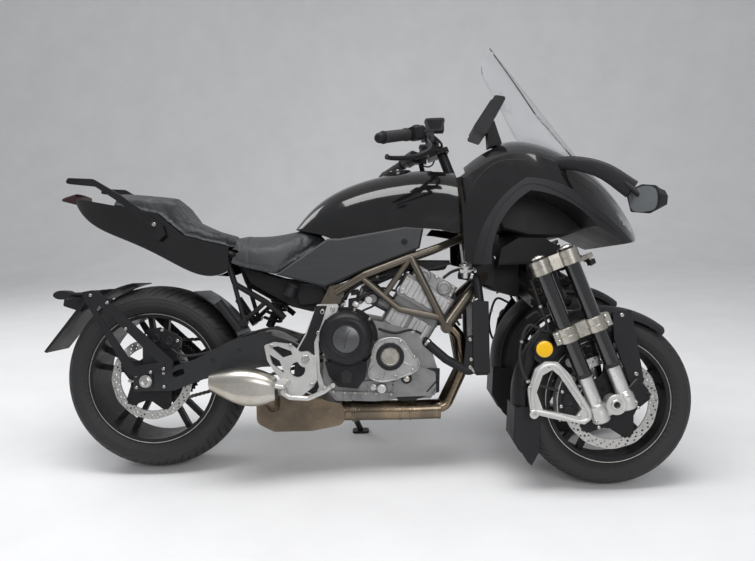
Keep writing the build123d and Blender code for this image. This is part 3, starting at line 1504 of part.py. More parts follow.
stand_foot = Vector(700, 246.6, 40.8 - rear_lift)
stand_leg_radius = 11.0
foot_length = 64.0
foot_width = 40.0
foot_thickness = 8.0
floor_plane = Plane(chassis_pose.inverse())
foot_world = (chassis_pose * Location(stand_foot)).position
with BuildPart() as side_stand:
    with BuildSketch(Plane(origin=stand_pivot - stand_axis * (stand_eye_length / 2), z_dir=stand_axis)):
        Circle(stand_eye_radius)
    extrude(amount=stand_eye_length)
    with BuildSketch(Plane(origin=stand_pivot - stand_axis * 30, z_dir=stand_axis)):
        Circle(stand_pin_radius)
    extrude(amount=40)
    add(tube([tuple(stand_pivot + stand_axis * 3), tuple(stand_foot + Vector(0, -2, 8))], stand_leg_radius))
    with BuildSketch(floor_plane.offset(0)):
        with Locations((foot_world.X, foot_world.Y)):
            RectangleRounded(foot_length, foot_width, 12)
    extrude(amount=foot_thickness)
    with BuildSketch(floor_plane.offset(-60)):
        with Locations((foot_world.X, foot_world.Y)):
            Rectangle(200, 200)
    extrude(amount=60, mode=Mode.SUBTRACT)
keep("side_stand", side_stand.part)

# The origin goes to the middle of the whole vehicle's footprint

whole = [solid.bounding_box() for solid in pieces.values()]
origin_shift = Vector(
    -(min(box.min.X for box in whole) + max(box.max.X for box in whole)) / 2,
    -(min(box.min.Y for box in whole) + max(box.max.Y for box in whole)) / 2,
    -min(box.min.Z for box in whole),
)

os.makedirs("parts", exist_ok=True)
for label, solid in pieces.items():
    placed = solid.moved(Location(origin_shift))
    placed.label = label
    export_step(placed, f"parts/{label}.step")
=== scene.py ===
"""Looks for the leaning three-wheeled motorcycle: camera, studio, materials and detailed pieces."""
import json
import math

import bmesh
import bpy
import numpy as np
from mathutils import Matrix, Vector
from mathutils.bvhtree import BVHTree


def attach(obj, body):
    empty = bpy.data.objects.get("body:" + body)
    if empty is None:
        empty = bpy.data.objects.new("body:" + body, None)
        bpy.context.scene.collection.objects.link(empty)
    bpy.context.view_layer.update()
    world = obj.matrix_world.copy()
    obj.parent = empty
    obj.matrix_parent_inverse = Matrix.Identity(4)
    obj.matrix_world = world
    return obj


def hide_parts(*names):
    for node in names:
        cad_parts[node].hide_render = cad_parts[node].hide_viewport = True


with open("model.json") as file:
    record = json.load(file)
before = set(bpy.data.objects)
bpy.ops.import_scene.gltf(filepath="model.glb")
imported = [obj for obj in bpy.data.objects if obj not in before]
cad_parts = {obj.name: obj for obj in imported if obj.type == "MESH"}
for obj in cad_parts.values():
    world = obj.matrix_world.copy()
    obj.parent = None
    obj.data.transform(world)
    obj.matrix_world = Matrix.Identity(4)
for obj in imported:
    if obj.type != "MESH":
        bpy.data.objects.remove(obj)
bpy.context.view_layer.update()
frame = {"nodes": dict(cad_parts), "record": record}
nodes = frame["nodes"]

# The vehicle's upright millimetre frames, as the solids were drawn, placed in the shared frame

LEAN = math.radians(9.4)
ORIGIN = Vector((-0.70175, -0.140339, 0.0))
HALF_TRACK = 0.205
REAR_RADIUS, REAR_WIDTH, REAR_DROP = 320.4, 190, 42
FRONT_RADIUS, FRONT_WIDTH, FRONT_DROP = 274.5, 120, 30
REAR_AXLE = Vector((0, 0, REAR_RADIUS))
FRONT_AXLE = Vector((1510, 0, FRONT_RADIUS))


def crown(width, drop):
    """The radius across a tread whose edges lie drop below its middle."""
    return ((width / 2) ** 2 + drop ** 2) / (2 * drop)


def stance(side, width, drop):
    """The frame that leans while it rolls on to the side of such a tread."""
    lift = crown(width, drop) * (1 - math.cos(LEAN)) / 1000
    place = Matrix.Translation(ORIGIN + Vector((0, side, lift)))
    return place @ Matrix.Rotation(-LEAN, 4, "X") @ Matrix.Scale(0.001, 4)


CHASSIS = stance(0.0, REAR_WIDTH, REAR_DROP)
RIGHT = stance(-HALF_TRACK, FRONT_WIDTH, FRONT_DROP)
LEFT = stance(HALF_TRACK, FRONT_WIDTH, FRONT_DROP) @ Matrix.Scale(-1, 4, Vector((0, 1, 0)))
SIDES = (("right", RIGHT), ("left", LEFT))
HANDS = (("right", -1), ("left", 1))
OUT = Vector((0, -1, 0))
UP = Vector((0, 0, 1))


def added(name, data):
    """A new object in the scene."""
    obj = bpy.data.objects.new(name, data)
    bpy.context.scene.collection.objects.link(obj)
    return obj


# Camera, solved from the photograph

YAW, PITCH, ROLL = math.radians(1.133), math.radians(9.497), math.radians(-1.818)
EYE = Vector((0.8316, -2.0966, 0.9995))
FOCAL_PIXELS, PHOTO_WIDTH, SENSOR = 623.48, 755.0, 36.0
forward = Vector((-math.sin(YAW) * math.cos(PITCH), math.cos(YAW) * math.cos(PITCH), -math.sin(PITCH)))
level_right = Vector((math.cos(YAW), math.sin(YAW), 0))
level_up = level_right.cross(forward)
view_right = math.cos(ROLL) * level_right + math.sin(ROLL) * level_up
view_up = -math.sin(ROLL) * level_right + math.cos(ROLL) * level_up
camera_data = bpy.data.cameras.new("photo_camera")
camera_data.sensor_width = SENSOR
camera_data.lens = FOCAL_PIXELS * SENSOR / PHOTO_WIDTH
camera_data.clip_end = 60.0
camera = added("photo_camera", camera_data)
turn = Matrix((view_right, view_up, -forward)).transposed().to_4x4()
camera.matrix_world = Matrix.Translation(EYE + ORIGIN) @ turn
bpy.context.scene.camera = camera
bpy.context.scene.view_settings.view_transform = "Standard"

# Materials

DUST = (0.30, 0.28, 0.25)


class Graph:
    """A material's nodes, with short calls for the ones used here."""

    def __init__(self, name):
        self.material = bpy.data.materials.new(name)
        self.material.use_nodes = True
        self.tree = self.material.node_tree
        self.shader = self.tree.nodes["Principled BSDF"]
        self.coords = self.node("TexCoord").outputs["Object"]

    def fill(self, node, values):
        for key, value in values.items():
            node.inputs[key.replace("_", " ")].default_value = value

    def node(self, kind, **values):
        """A new node with values in its sockets."""
        made = self.tree.nodes.new("ShaderNode" + kind)
        self.fill(made, values)
        return made

    def set(self, **values):
        self.fill(self.shader, values)

    def link(self, source, target):
        self.tree.links.new(source, target)

    def noise(self, scale, detail=3.0, rough=0.55, stretch=None):
        node = self.node("TexNoise", Scale=scale, Detail=detail, Roughness=rough)
        source = self.coords
        if stretch:
            mapping = self.node("Mapping", Scale=stretch)
            self.link(self.coords, mapping.inputs["Vector"])
            source = mapping.outputs["Vector"]
        self.link(source, node.inputs["Vector"])
        return node.outputs["Fac"]

    def cells(self, scale, randomness=1.0):
        node = self.node("TexVoronoi", Scale=scale, Randomness=randomness)
        self.link(self.coords, node.inputs["Vector"])
        return node.outputs["Distance"]

    def span(self, value, low, high, from_low, from_high):
        """The value's range from_low to from_high, drawn out to low and high."""
        node = self.node("MapRange", From_Min=from_low, From_Max=from_high, To_Min=low, To_Max=high)
        self.link(value, node.inputs["Value"])
        return node.outputs["Result"]

    def mix(self, factor, first, second):
        """Colours or colour sockets, mixed by a socket."""
        node = self.node("Mix")
        node.data_type = "RGBA"
        self.link(factor, node.inputs["Factor"])
        sockets = [s for s in node.inputs if s.type == "RGBA"]
        for value, socket in zip((first, second), sockets):
            if isinstance(value, tuple):
                socket.default_value = (*value, 1.0)
            else:
                self.link(value, socket)
        return [s for s in node.outputs if s.type == "RGBA"][0]

    def product(self, first, second):
        node = self.node("Math")
        node.operation = "MULTIPLY"
        self.link(first, node.inputs[0])
        self.link(second, node.inputs[1])
        return node.outputs[0]

    def upward(self):
        """One on faces that look up, nothing on steep ones."""
        split = self.node("SeparateXYZ")
        self.link(self.node("NewGeometry").outputs["Normal"], split.inputs[0])
        return self.span(split.outputs["Z"], 0.0, 1.0, 0.55, 1.0)

    def finish(self, tone, gloss, rough, relief, strength, depth):
        """The material with its colour, a gloss clouded between two values, and its relief."""
        self.link(tone, self.shader.inputs["Base Color"])
        self.link(self.span(gloss, *rough, 0.3, 0.7), self.shader.inputs["Roughness"])
        bump = self.node("Bump", Strength=strength, Distance=depth)
        self.link(relief, bump.inputs["Height"])
        self.link(bump.outputs["Normal"], self.shader.inputs["Normal"])
        return self.material


def shade(color, factor):
    return tuple(min(1.0, c * factor) for c in color)


def surface(name, color, rough, metallic=0.0, vary=0.2, cloud=9.0, grain=420.0, grain_strength=0.12, coat=0.0,
            dust=0.0):
    """A finish with clouded colour, uneven gloss, fine grain and a little dust on its upper faces."""
    g = Graph(name)
    clouds = g.noise(cloud, 4.0, 0.6)
    tone = g.mix(g.span(clouds, 0.0, 1.0, 0.3, 0.7), shade(color, 1 - vary), shade(color, 1 + vary))
    if dust:
        settle = g.product(g.upward(), g.span(g.noise(38.0, 5.0, 0.7), 0.0, dust, 0.38, 0.72))
        tone = g.mix(settle, tone, DUST)
    g.set(Metallic=metallic, Coat_Weight=coat)
    if coat:
        g.set(Coat_Roughness=0.04)
    return g.finish(tone, g.noise(cloud * 4), rough, g.noise(grain, 2.0, 0.5), grain_strength, 0.0006)


def brushed(name, color, rough, axis, tint=None):
    """Brushed or ground metal, its lines drawn by noise stretched across the brushing."""
    g = Graph(name)
    lines = g.noise(26.0, 4.0, 0.65, axis)
    tone = g.mix(g.span(lines, 0.0, 1.0, 0.3, 0.7), shade(color, 0.82), shade(color, 1.12))
    if tint:
        tone = g.mix(g.span(g.noise(7.0), 0.0, 0.9, 0.42, 0.66), tone, tint)
    g.set(Metallic=1.0)
    return g.finish(tone, lines, rough, lines, 0.10, 0.0004)


def grained(name, color, rough, scale, strength, sheen=0.0):
    """Moulded or vinyl grain: fine cells with paler tops."""
    g = Graph(name)
    cell = g.cells(scale)
    clouds = g.noise(11.0)
    tone = g.mix(g.span(cell, 0.0, 1.0, 0.1, 0.7), shade(color, 0.75), shade(color, 1.25))
    tone = g.mix(g.span(clouds, 0.0, 0.24, 0.35, 0.65), tone, shade(color, 1.6))
    if sheen:
        g.set(Sheen_Weight=sheen, Sheen_Roughness=0.4)
    return g.finish(tone, clouds, rough, cell, strength, 0.0012)


def dotted(name, color):
    """Moulded plastic with rows of fine paler dots."""
    g = Graph(name)
    mask = g.span(g.cells(240.0, 0.25), 1.0, 0.0, 0.2, 0.4)
    clouds = g.noise(12.0)
    tone = g.mix(mask, color, shade(color, 1.35))
    tone = g.mix(g.span(clouds, 0.0, 0.25, 0.3, 0.7), tone, shade(color, 1.5))
    return g.finish(tone, clouds, (0.42, 0.56), mask, 0.35, 0.0006)


def rubber(name, color):
    """Dull rubber with paler clouds."""
    g = Graph(name)
    clouds = g.noise(14.0, 5.0, 0.65)
    tone = g.mix(g.span(clouds, 0.0, 1.0, 0.32, 0.7), shade(color, 0.8), shade(color, 1.45))
    return g.finish(tone, clouds, (0.60, 0.82), g.noise(700.0, 2.0), 0.22, 0.0006)


def lens(name, color, rough, transmission):
    """Clear or smoked plastic with faint streaks and specks."""
    g = Graph(name)
    streaks = g.noise(5.0, 5.0, 0.7, (1.0, 1.0, 4.0))
    g.link(g.mix(g.span(streaks, 0.0, 0.5, 0.3, 0.8), color, shade(color, 0.9)), g.shader.inputs["Base Color"])
    g.link(g.span(g.noise(60.0, 4.0), rough, rough + 0.02, 0.4, 0.7), g.shader.inputs["Roughness"])
    g.set(Transmission_Weight=transmission, IOR=1.46)
    return g.material


def dull(level, *finishes):
    """Lowers how strongly the finishes mirror the studio."""
    for finish in finishes:
        finish.node_tree.nodes["Principled BSDF"].inputs["Specular IOR Level"].default_value = level


GLOSS = surface("black_gloss", (0.0062, 0.0062, 0.0068), (0.12, 0.20), vary=0.25, grain=900.0, grain_strength=0.012,
                coat=0.85, dust=0.03)
SATIN_BLACK = surface("satin_black_paint", (0.014, 0.014, 0.0155), (0.34, 0.48), vary=0.2, grain_strength=0.05,
                      dust=0.10)
FRAME = surface("bronze_frame_paint", (0.105, 0.088, 0.068), (0.26, 0.38), metallic=0.65, vary=0.14, grain=700.0,
                grain_strength=0.05, coat=0.3, dust=0.05)
SILVER = surface("cast_silver_paint", (0.60, 0.595, 0.58), (0.32, 0.44), metallic=0.75, vary=0.08, grain=520.0,
                 grain_strength=0.10)
FORK_SILVER = surface("satin_fork_silver", (0.66, 0.66, 0.65), (0.26, 0.38), metallic=0.85, vary=0.06, grain=600.0,
                      grain_strength=0.05)
MACHINED = surface("machined_alloy", (0.50, 0.47, 0.42), (0.22, 0.34), metallic=1.0, vary=0.08, grain=700.0,
                   grain_strength=0.05)
ENGINE = surface("engine_casting", (0.235, 0.235, 0.235), (0.34, 0.5), metallic=0.7, vary=0.22, cloud=16.0, grain=460.0,
                 grain_strength=0.25, dust=0.08)
COVER = surface("dark_engine_cover", (0.020, 0.020, 0.022), (0.30, 0.42), metallic=0.3, vary=0.25, grain=480.0,
                grain_strength=0.16, dust=0.06)
CRANK = surface("silver_engine_cover", (0.40, 0.40, 0.395), (0.30, 0.42), metallic=0.8, vary=0.12, grain=460.0,
                grain_strength=0.2)
SWINGARM = surface("swingarm_grey", (0.030, 0.031, 0.033), (0.32, 0.44), metallic=0.4, vary=0.18, grain=500.0,
                   grain_strength=0.1, dust=0.10)
PLASTIC = grained("moulded_black_plastic", (0.015, 0.015, 0.0165), (0.42, 0.55), 900.0, 0.10)
TRIM = grained("soft_grey_black_trim", (0.024, 0.0245, 0.0265), (0.40, 0.52), 800.0, 0.10)
STEEL = brushed("ground_steel", (0.55, 0.54, 0.52), (0.22, 0.36), (4.0, 60.0, 4.0))
SILENCER = brushed("brushed_silencer", (0.56, 0.535, 0.49), (0.26, 0.38), (3.0, 40.0, 40.0), tint=(0.42, 0.33, 0.21))
HEATED = brushed("heat_tinted_pipe", (0.27, 0.21, 0.145), (0.18, 0.30), (3.0, 22.0, 22.0), tint=(0.13, 0.105, 0.082))
CHAIN = surface("oiled_chain", (0.16, 0.15, 0.13), (0.3, 0.5), metallic=0.9, vary=0.35, cloud=60.0)
CLEAR = lens("clear_screen", (0.94, 0.955, 0.97), 0.02, 0.97)
LAMP = lens("lamp_cover", (0.80, 0.83, 0.86), 0.03, 0.92)
SMOKED_RED = lens("smoked_red_lens", (0.030, 0.005, 0.005), 0.10, 0.10)
AMBER = lens("amber_reflector", (1.0, 0.56, 0.01), 0.12, 0.10)
MIRROR = surface("mirror_glass", (0.30, 0.325, 0.335), (0.10, 0.16), metallic=0.5, vary=0.04, grain_strength=0.0)
TUBE = surface("fork_tube_black", (0.008, 0.008, 0.009), (0.07, 0.12), vary=0.1, grain=900.0, grain_strength=0.01,
               coat=1.0)
TYRE = rubber("road_rubber", (0.016, 0.016, 0.017))
SOFT_RUBBER = rubber("grip_rubber", (0.014, 0.014, 0.015))
SEAT = grained("seat_vinyl_grain", (0.024, 0.0255, 0.0275), (0.46, 0.62), 430.0, 0.30, sheen=0.06)
THREAD = surface("seat_thread", (0.10, 0.105, 0.11), (0.5, 0.65), vary=0.1, grain_strength=0.3)
HOSE = rubber("hose_rubber", (0.012, 0.012, 0.013))
GREY_DISC = surface("satin_grey_disc", (0.085, 0.086, 0.088), (0.22, 0.32), metallic=0.5, vary=0.15,
                    grain_strength=0.06)
PALE_ALLOY = surface("pale_cylinder_alloy", (0.40, 0.40, 0.395), (0.34, 0.46), metallic=0.75, vary=0.14, grain=460,
                     grain_strength=0.2)
CORE_BLACK = surface("radiator_black", (0.025, 0.025, 0.026), (0.4, 0.55), metallic=0.3, vary=0.3, dust=0.2)
SCREEN_GLASS = surface("instrument_glass", (0.014, 0.016, 0.020), (0.05, 0.12), vary=0.3, grain_strength=0.0, coat=1.0)
BRIGHT = surface("lamp_reflector", (0.72, 0.73, 0.74), (0.08, 0.16), metallic=1.0, vary=0.05, grain_strength=0.02)
dull(0.12, GLOSS)
dull(0.22, SATIN_BLACK, PLASTIC, COVER, TRIM)

slot_material = {
    "tyre_rubber": TYRE, "rim_paint": SATIN_BLACK, "disc_steel": STEEL, "cast_alloy": SILVER,
    "clamp_alloy": MACHINED, "fork_tube": TUBE, "black_plastic": PLASTIC, "frame_paint": FRAME,
    "black_paint": SATIN_BLACK, "swingarm_paint": SWINGARM, "chain_steel": CHAIN, "engine_alloy": ENGINE,
    "cover_paint": COVER, "exhaust_steel": HEATED, "silencer_steel": SILENCER, "body_paint": GLOSS,
    "seat_vinyl": SEAT, "lamp_red": SMOKED_RED, "lamp_glass": LAMP, "screen_clear": CLEAR,
}


def dress(node, finish):
    for slot in nodes[node].material_slots:
        slot.material = finish


for subpart in frame["record"]["subparts"]:
    dress(subpart["node"], slot_material[subpart["material_slot"]])
dress("side_panels", dotted("dotted_side_panel", (0.019, 0.020, 0.0215)))

# Studio: a pale sweep, a dim world and three soft lamps

floor = Graph("pale_studio")
speck = floor.span(floor.noise(3.0, 5.0, 0.6), 0.0, 1.0, 0.3, 0.7)
floor.link(floor.mix(speck, (0.80, 0.80, 0.805), (0.85, 0.85, 0.855)), floor.shader.inputs["Base Color"])
floor.set(Roughness=0.75)

BEND, HALF_FLOOR = 2.0, 16.0
profile = [(-14.0, 0.0), (-2.0, 0.0), (2.0, 0.0)]
for step in range(13):
    angle = math.radians(90 * step / 12)
    profile.append((4.2 + BEND * math.sin(angle), BEND - BEND * math.cos(angle)))
profile.append((6.2, 9.0))
count = len(profile)
sweep = bpy.data.meshes.new("studio_sweep")
sweep.from_pydata([(x, y, z) for x in (-HALF_FLOOR, HALF_FLOOR) for y, z in profile], [],
                  [(count + i, count + i + 1, i + 1, i) for i in range(count - 1)])
sweep.materials.append(floor.material)
sweep.shade_smooth()
backdrop = added("studio_sweep", sweep)

world = bpy.data.worlds.new("studio_world")
bpy.context.scene.world = world
world.use_nodes = True
background = world.node_tree.nodes["Background"]
background.inputs["Color"].default_value = (0.80, 0.81, 0.83, 1.0)
background.inputs["Strength"].default_value = 0.50


def lamp(name, place, target, size, watts):
    data = bpy.data.lights.new(name, "AREA")
    data.shape = "RECTANGLE"
    data.size, data.size_y = size
    data.energy = watts
    obj = added(name, data)
    obj.location = place
    obj.rotation_euler = (Vector(target) - Vector(place)).to_track_quat("-Z", "Y").to_euler()


lamp("ceiling_soft", (0.0, -0.6, 3.6), (0.0, 0.0, 0.4), (3.4, 1.2), 95.0)
lamp("front_soft", (1.2, -4.2, 2.6), (0.0, 0.0, 0.5), (2.4, 1.6), 55.0)
lamp("rear_soft", (-3.2, 1.6, 2.8), (0.0, 0.0, 0.5), (1.8, 1.8), 40.0)

# Mesh helpers, in millimetres of the upright vehicle


def basis(axis):
    """Two directions square to axis."""
    axis = Vector(axis).normalized()
    guide = UP if abs(axis.z) < 0.9 else Vector((1, 0, 0))
    first = axis.cross(guide).normalized()
    return first, axis.cross(first).normalized()


def full_turn(steps):
    """The angles of a full turn in equal steps."""
    return [2 * math.pi * i / steps for i in range(steps)]


def spoke(u, v, a):
    """The direction at angle a from u towards v."""
    return u * math.cos(a) + v * math.sin(a)


def oval(centre, u, v, wide, tall, steps, power=1.0):
    """A closed ring of points, wide along u and tall along v; a power under one squares it off."""
    ring = []
    for a in full_turn(steps):
        c, s = math.cos(a), math.sin(a)
        ring.append(centre + u * (wide * math.copysign(abs(c) ** power, c))
                    + v * (tall * math.copysign(abs(s) ** power, s)))
    return ring


def course(line, i):
    """The direction of a line of points at its point i."""
    return (line[min(i + 1, len(line) - 1)] - line[max(i - 1, 0)]).normalized()


def smooth_path(points, samples):
    """Points of a Catmull-Rom line through the given points."""
    points = [Vector(p) for p in points]
    ends = [2 * points[0] - points[1]] + points + [2 * points[-1] - points[-2]]
    line = []
    for i in range(len(points) - 1):
        a, b, c, d = ends[i:i + 4]
        for step in range(samples):
            t = step / samples
            line.append(0.5 * (2 * b + (c - a) * t + (2 * a - 5 * b + 4 * c - d) * t * t
                               + (3 * b - a - 3 * c + d) * t ** 3))
    return line + [points[-1]]


class Shape:
    """A mesh being built."""

    def __init__(self):
        self.bm = bmesh.new()

    def loops(self, rings, wrap=False):
        """Skins a list of rings of points with equal counts; wrap joins the last to the first."""
        made = [[self.bm.verts.new(p) for p in ring] for ring in rings]
        pairs = list(zip(made, made[1:]))
        if wrap:
            pairs.append((made[-1], made[0]))
        for low, high in pairs:
            n = len(low)
            for i in range(n):
                self.bm.faces.new((low[i], low[(i + 1) % n], high[(i + 1) % n], high[i]))
        if not wrap:
            self.bm.faces.new(list(reversed(made[0])))
            self.bm.faces.new(made[-1])
        return self

    def rod(self, start, end, radius, end_radius=None, steps=20):
        """A round bar with softened ends."""
        start, end = Vector(start), Vector(end)
        end_radius = radius if end_radius is None else end_radius
        axis = (end - start).normalized()
        u, v = basis(axis)
        soft = min(1.2, radius * 0.2, (end - start).length * 0.2)
        rings = [(start, radius - soft), (start + axis * soft, radius), (end - axis * soft, end_radius),
                 (end, end_radius - soft)]
        return self.loops([[centre + spoke(u, v, a) * r for a in full_turn(steps)] for centre, r in rings])

    def turned(self, centre, axis, profile, steps=24):
        """Revolves (distance along axis, radius) points; the ends are closed."""
        centre, axis = Vector(centre), Vector(axis).normalized()
        u, v = basis(axis)
        return self.loops([[centre + axis * along + spoke(u, v, a) * max(radius, 0.01) for a in full_turn(steps)]
                           for along, radius in profile])

    def hoop(self, centre, axis, section, steps=96):
        """Revolves a closed section of (distance along axis, radius) points into a ring."""
        centre, axis = Vector(centre), Vector(axis).normalized()
        u, v = basis(axis)
        return self.loops([[centre + axis * along + spoke(u, v, a) * radius for along, radius in section]
                           for a in full_turn(steps)], wrap=True)

    def bolt(self, centre, axis, radius=6.0, height=5.0, kind="socket"):
        """A socket head standing on centre, or a hexagon head on its washer."""
        axis = Vector(axis).normalized()
        if kind == "hex":
            washer = radius * 1.35
            self.turned(centre, axis, [(0, washer), (0.9, washer), (1.2, washer * 0.94)], 18)
            return self.turned(centre, axis, [(1.0, radius), (height - 0.8, radius), (height, radius * 0.86)], 6)
        return self.turned(centre, axis, [
            (0, radius), (height - 0.9, radius), (height, radius - 0.9), (height, radius * 0.56),
            (height - 2.6, radius * 0.52), (height - 2.6, 0.0),
        ], 12)

    def slab(self, outline, low_y, high_y):
        """A plate whose outline lies in the x, z plane."""
        area = sum(a[0] * b[1] - b[0] * a[1] for a, b in zip(outline, outline[1:] + outline[:1]))
        outline = list(outline) if area > 0 else list(reversed(outline))
        return self.loops([[Vector((x, y, z)) for x, z in outline] for y in (high_y, low_y)])

    def tube(self, points, radius, samples=6, steps=12):
        """A round line through the points."""
        line = smooth_path(points, samples)
        tangent = (line[1] - line[0]).normalized()
        u, v = basis(tangent)
        rings = []
        for i, point in enumerate(line):
            fresh = course(line, i)
            swing = tangent.rotation_difference(fresh)
            u, v, tangent = swing @ u, swing @ v, fresh
            rings.append([point + spoke(u, v, a) * radius for a in full_turn(steps)])
        return self.loops(rings)

    def plate(self, outlines, plane, thickness):
        """A flat plate with holes; plane maps (a, b) to a point, thickness is a vector."""
        edges = []
        for outline in outlines:
            made = [self.bm.verts.new(plane(*p)) for p in outline]
            edges += [self.bm.edges.new((a, b)) for a, b in zip(made, made[1:] + made[:1])]
        filled = bmesh.ops.triangle_fill(self.bm, use_beauty=True, use_dissolve=False, edges=edges)
        faces = [f for f in filled["geom"] if isinstance(f, bmesh.types.BMFace)]
        grown = bmesh.ops.extrude_face_region(self.bm, geom=faces)
        moved = [v for v in grown["geom"] if isinstance(v, bmesh.types.BMVert)]
        bmesh.ops.translate(self.bm, vec=thickness, verts=moved)
        return self

    def piece(self, name, where, body, material, slot, replaces=(), bevel=0.0, smooth=38):
        """Finishes the mesh as a piece that rides on a body."""
        mesh = bpy.data.meshes.new(name)
        bmesh.ops.recalc_face_normals(self.bm, faces=self.bm.faces)
        self.bm.to_mesh(mesh)
        self.bm.free()
        mesh.transform(where)
        if where.determinant() < 0:
            mesh.flip_normals()
        mesh.materials.append(material)
        obj = added(name, mesh)
        if bevel:
            rounding = obj.modifiers.new("rounding", "BEVEL")
            rounding.width = bevel / 1000
            rounding.segments = 2
            rounding.limit_method = "ANGLE"
            rounding.angle_limit = math.radians(40)
        mesh.shade_smooth()
        mesh.set_sharp_from_angle(angle=math.radians(smooth))
        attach(obj, body)
        if replaces:
            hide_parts(*replaces)

    def fixed(self, name, material, slot, **finish):
        """Finishes the mesh as a piece of the chassis."""
        self.piece(name, CHASSIS, "chassis", material, slot, **finish)

    def barred(self, name, material, slot):
        """Finishes the mesh as a piece that turns with the handlebar."""
        self.piece(name, CHASSIS, "steering", material, slot)


# Wheels: tyres with cut tread, bright rim edges, drilled discs

# Where each kind of groove begins and ends across the tread, its depth, and how far its two ends slope
GROOVES = {1: (0.10, 0.80, 4.6, 0.06, 0.08), 2: (0.34, 0.97, 4.0, 0.06, 0.05)}
# The edges of one pitch's grooves round the wheel, and which kind lies there; nought is plain tread
GROOVE_EDGES = ((0.0, 0), (0.018, 1), (0.085, 1), (0.103, 0), (0.29, 0), (0.48, 0), (0.50, 2), (0.565, 2), (0.585, 0),
                (0.79, 0))


def tyre_piece(name, node, where, body, centre, radius, width, drop, rim_radius, rim_width, pitches):
    """The solid's profile with slanted tread grooves, sidewall rings and fine ribs near the rim."""
    half = width / 2
    tread_radius = crown(width, drop)
    sweep = math.asin(half / tread_radius)
    shoulder = radius - drop
    rows = []
    for step in range(41):
        v = -1 + 2 * step / 40
        a = v * sweep
        rows.append((tread_radius * math.sin(a), radius - tread_radius * (1 - math.cos(a)), v))
    lip = rim_radius + 0.3
    wall = []
    for step in range(1, 15):
        t = step / 14
        r = shoulder + (lip - shoulder) * t
        y = half + 1.2 * math.sin(math.pi * t) * 1.25 - max(0.0, t - 0.55) / 0.45 * (half - rim_width / 2)
        ring = 0.9 if step in (3, 4, 11) else 0.0
        wall.append((min(y, half + 1.4) + ring - 0.9, r, 2.0 + t))
    section = [(-y, r, -v) for y, r, v in reversed(wall)] + rows + wall
    rings = []
    for place, cut in [(pitch + offset, cut) for pitch in range(pitches) for offset, cut in GROOVE_EDGES]:
        ring = []
        for y, r, v in section:
            across = min(abs(v), 1.0)
            slant = 0.95 * across ** 1.3 if abs(v) <= 1 else 0.95
            angle = 2 * math.pi * (place + slant) / pitches
            depth = 0.0
            if cut and abs(v) <= 1:
                begin, end, deep, begin_slope, end_slope = GROOVES[cut]
                if begin < across < end:
                    depth = deep * min(1, (across - begin) / begin_slope, (end - across) / end_slope)
            if abs(v) > 2.82 and cut:
                depth = 0.8
            direction = Vector((math.cos(angle), 0, math.sin(angle)))
            ring.append(centre + direction * (r - depth) + Vector((0, y, 0)))
        rings.append(ring)
    shape = Shape()
    made = [[shape.bm.verts.new(p) for p in ring] for ring in rings]
    for low, high in zip(made, made[1:] + made[:1]):
        for i in range(len(section) - 1):
            shape.bm.faces.new((low[i], low[i + 1], high[i + 1], high[i]))
    shape.piece(name, where, body, TYRE, "tyre_rubber", replaces=(node,), smooth=50)


def rim_edges(name, where, body, centre, radius, half):
    shape = Shape()
    for side in (-1, 1):
        shape.hoop(centre, (0, 1, 0), [
            (side * (half - 0.2), radius), (side * (half + 0.5), radius + 0.4), (side * (half + 0.5), radius + 2.6),
            (side * (half - 0.2), radius + 3.0),
        ], 120)
    shape.piece(name, where, body, MACHINED, "rim_paint", smooth=60)


def circle(x, z, radius, steps, wave=0.0, lobes=0):
    """The outline of a hole or a wavy rim."""
    points = []
    for a in full_turn(steps):
        r = radius + wave * math.cos(lobes * a)
        points.append((x + r * math.cos(a), z + r * math.sin(a)))
    return points


def drilled_disc(name, node, where, body, centre, radius, low_y):
    """Wavy drilled ring on a black five-armed spider with bobbins."""
    arms, first_arm, half_arm, thick = 5, math.radians(9), math.radians(7), Vector((0, 5, 0))
    band_inner = radius - 30
    outlines = [circle(0, 0, radius - 1, 144, 1.0, 12), circle(0, 0, band_inner, 96)]
    for group in range(30):
        for r, shift, hole in ((radius - 7, 0.0, 3.0), (radius - 14.5, 0.35, 3.6), (radius - 22.5, 0.7, 3.0)):
            a = 2 * math.pi * (group + shift) / 30
            outlines.append(circle(r * math.cos(a), r * math.sin(a), hole, 8))
    band = Shape().plate(outlines, lambda a, b: centre + Vector((a, low_y, b)), thick)
    band.piece(name, where, body, STEEL, "disc_steel", replaces=(node,), smooth=35)
    outline = []
    for i in range(arms * 2):
        a = 2 * math.pi * i / (arms * 2) + first_arm
        r, shifts = (band_inner - 34, (-0.11, 0.0, 0.11)) if i % 2 else (band_inner + 5, (-half_arm, half_arm))
        outline += [(r * math.cos(a + shift), r * math.sin(a + shift)) for shift in shifts]
    spider = Shape().plate([outline, circle(0, 0, 28.6, 32)], lambda a, b: centre + Vector((a, low_y - 1.2, b)), thick)
    for i in range(arms):
        a = 2 * math.pi * i / arms + first_arm
        spot = centre + Vector(((band_inner + 1) * math.cos(a), low_y - 3.2, (band_inner + 1) * math.sin(a)))
        spider.turned(spot, (0, 1, 0), [(0, 5.2), (0.8, 7.4), (9.4, 7.4), (10.2, 5.2)], 18)
        b = a + math.pi / arms
        spider.bolt(centre + Vector((44 * math.cos(b), low_y - 1.2, 44 * math.sin(b))), OUT, 6.5, 4.5)
    spider.piece(name + "_spider", where, body, SATIN_BLACK, "rim_paint", smooth=35, bevel=0.5)


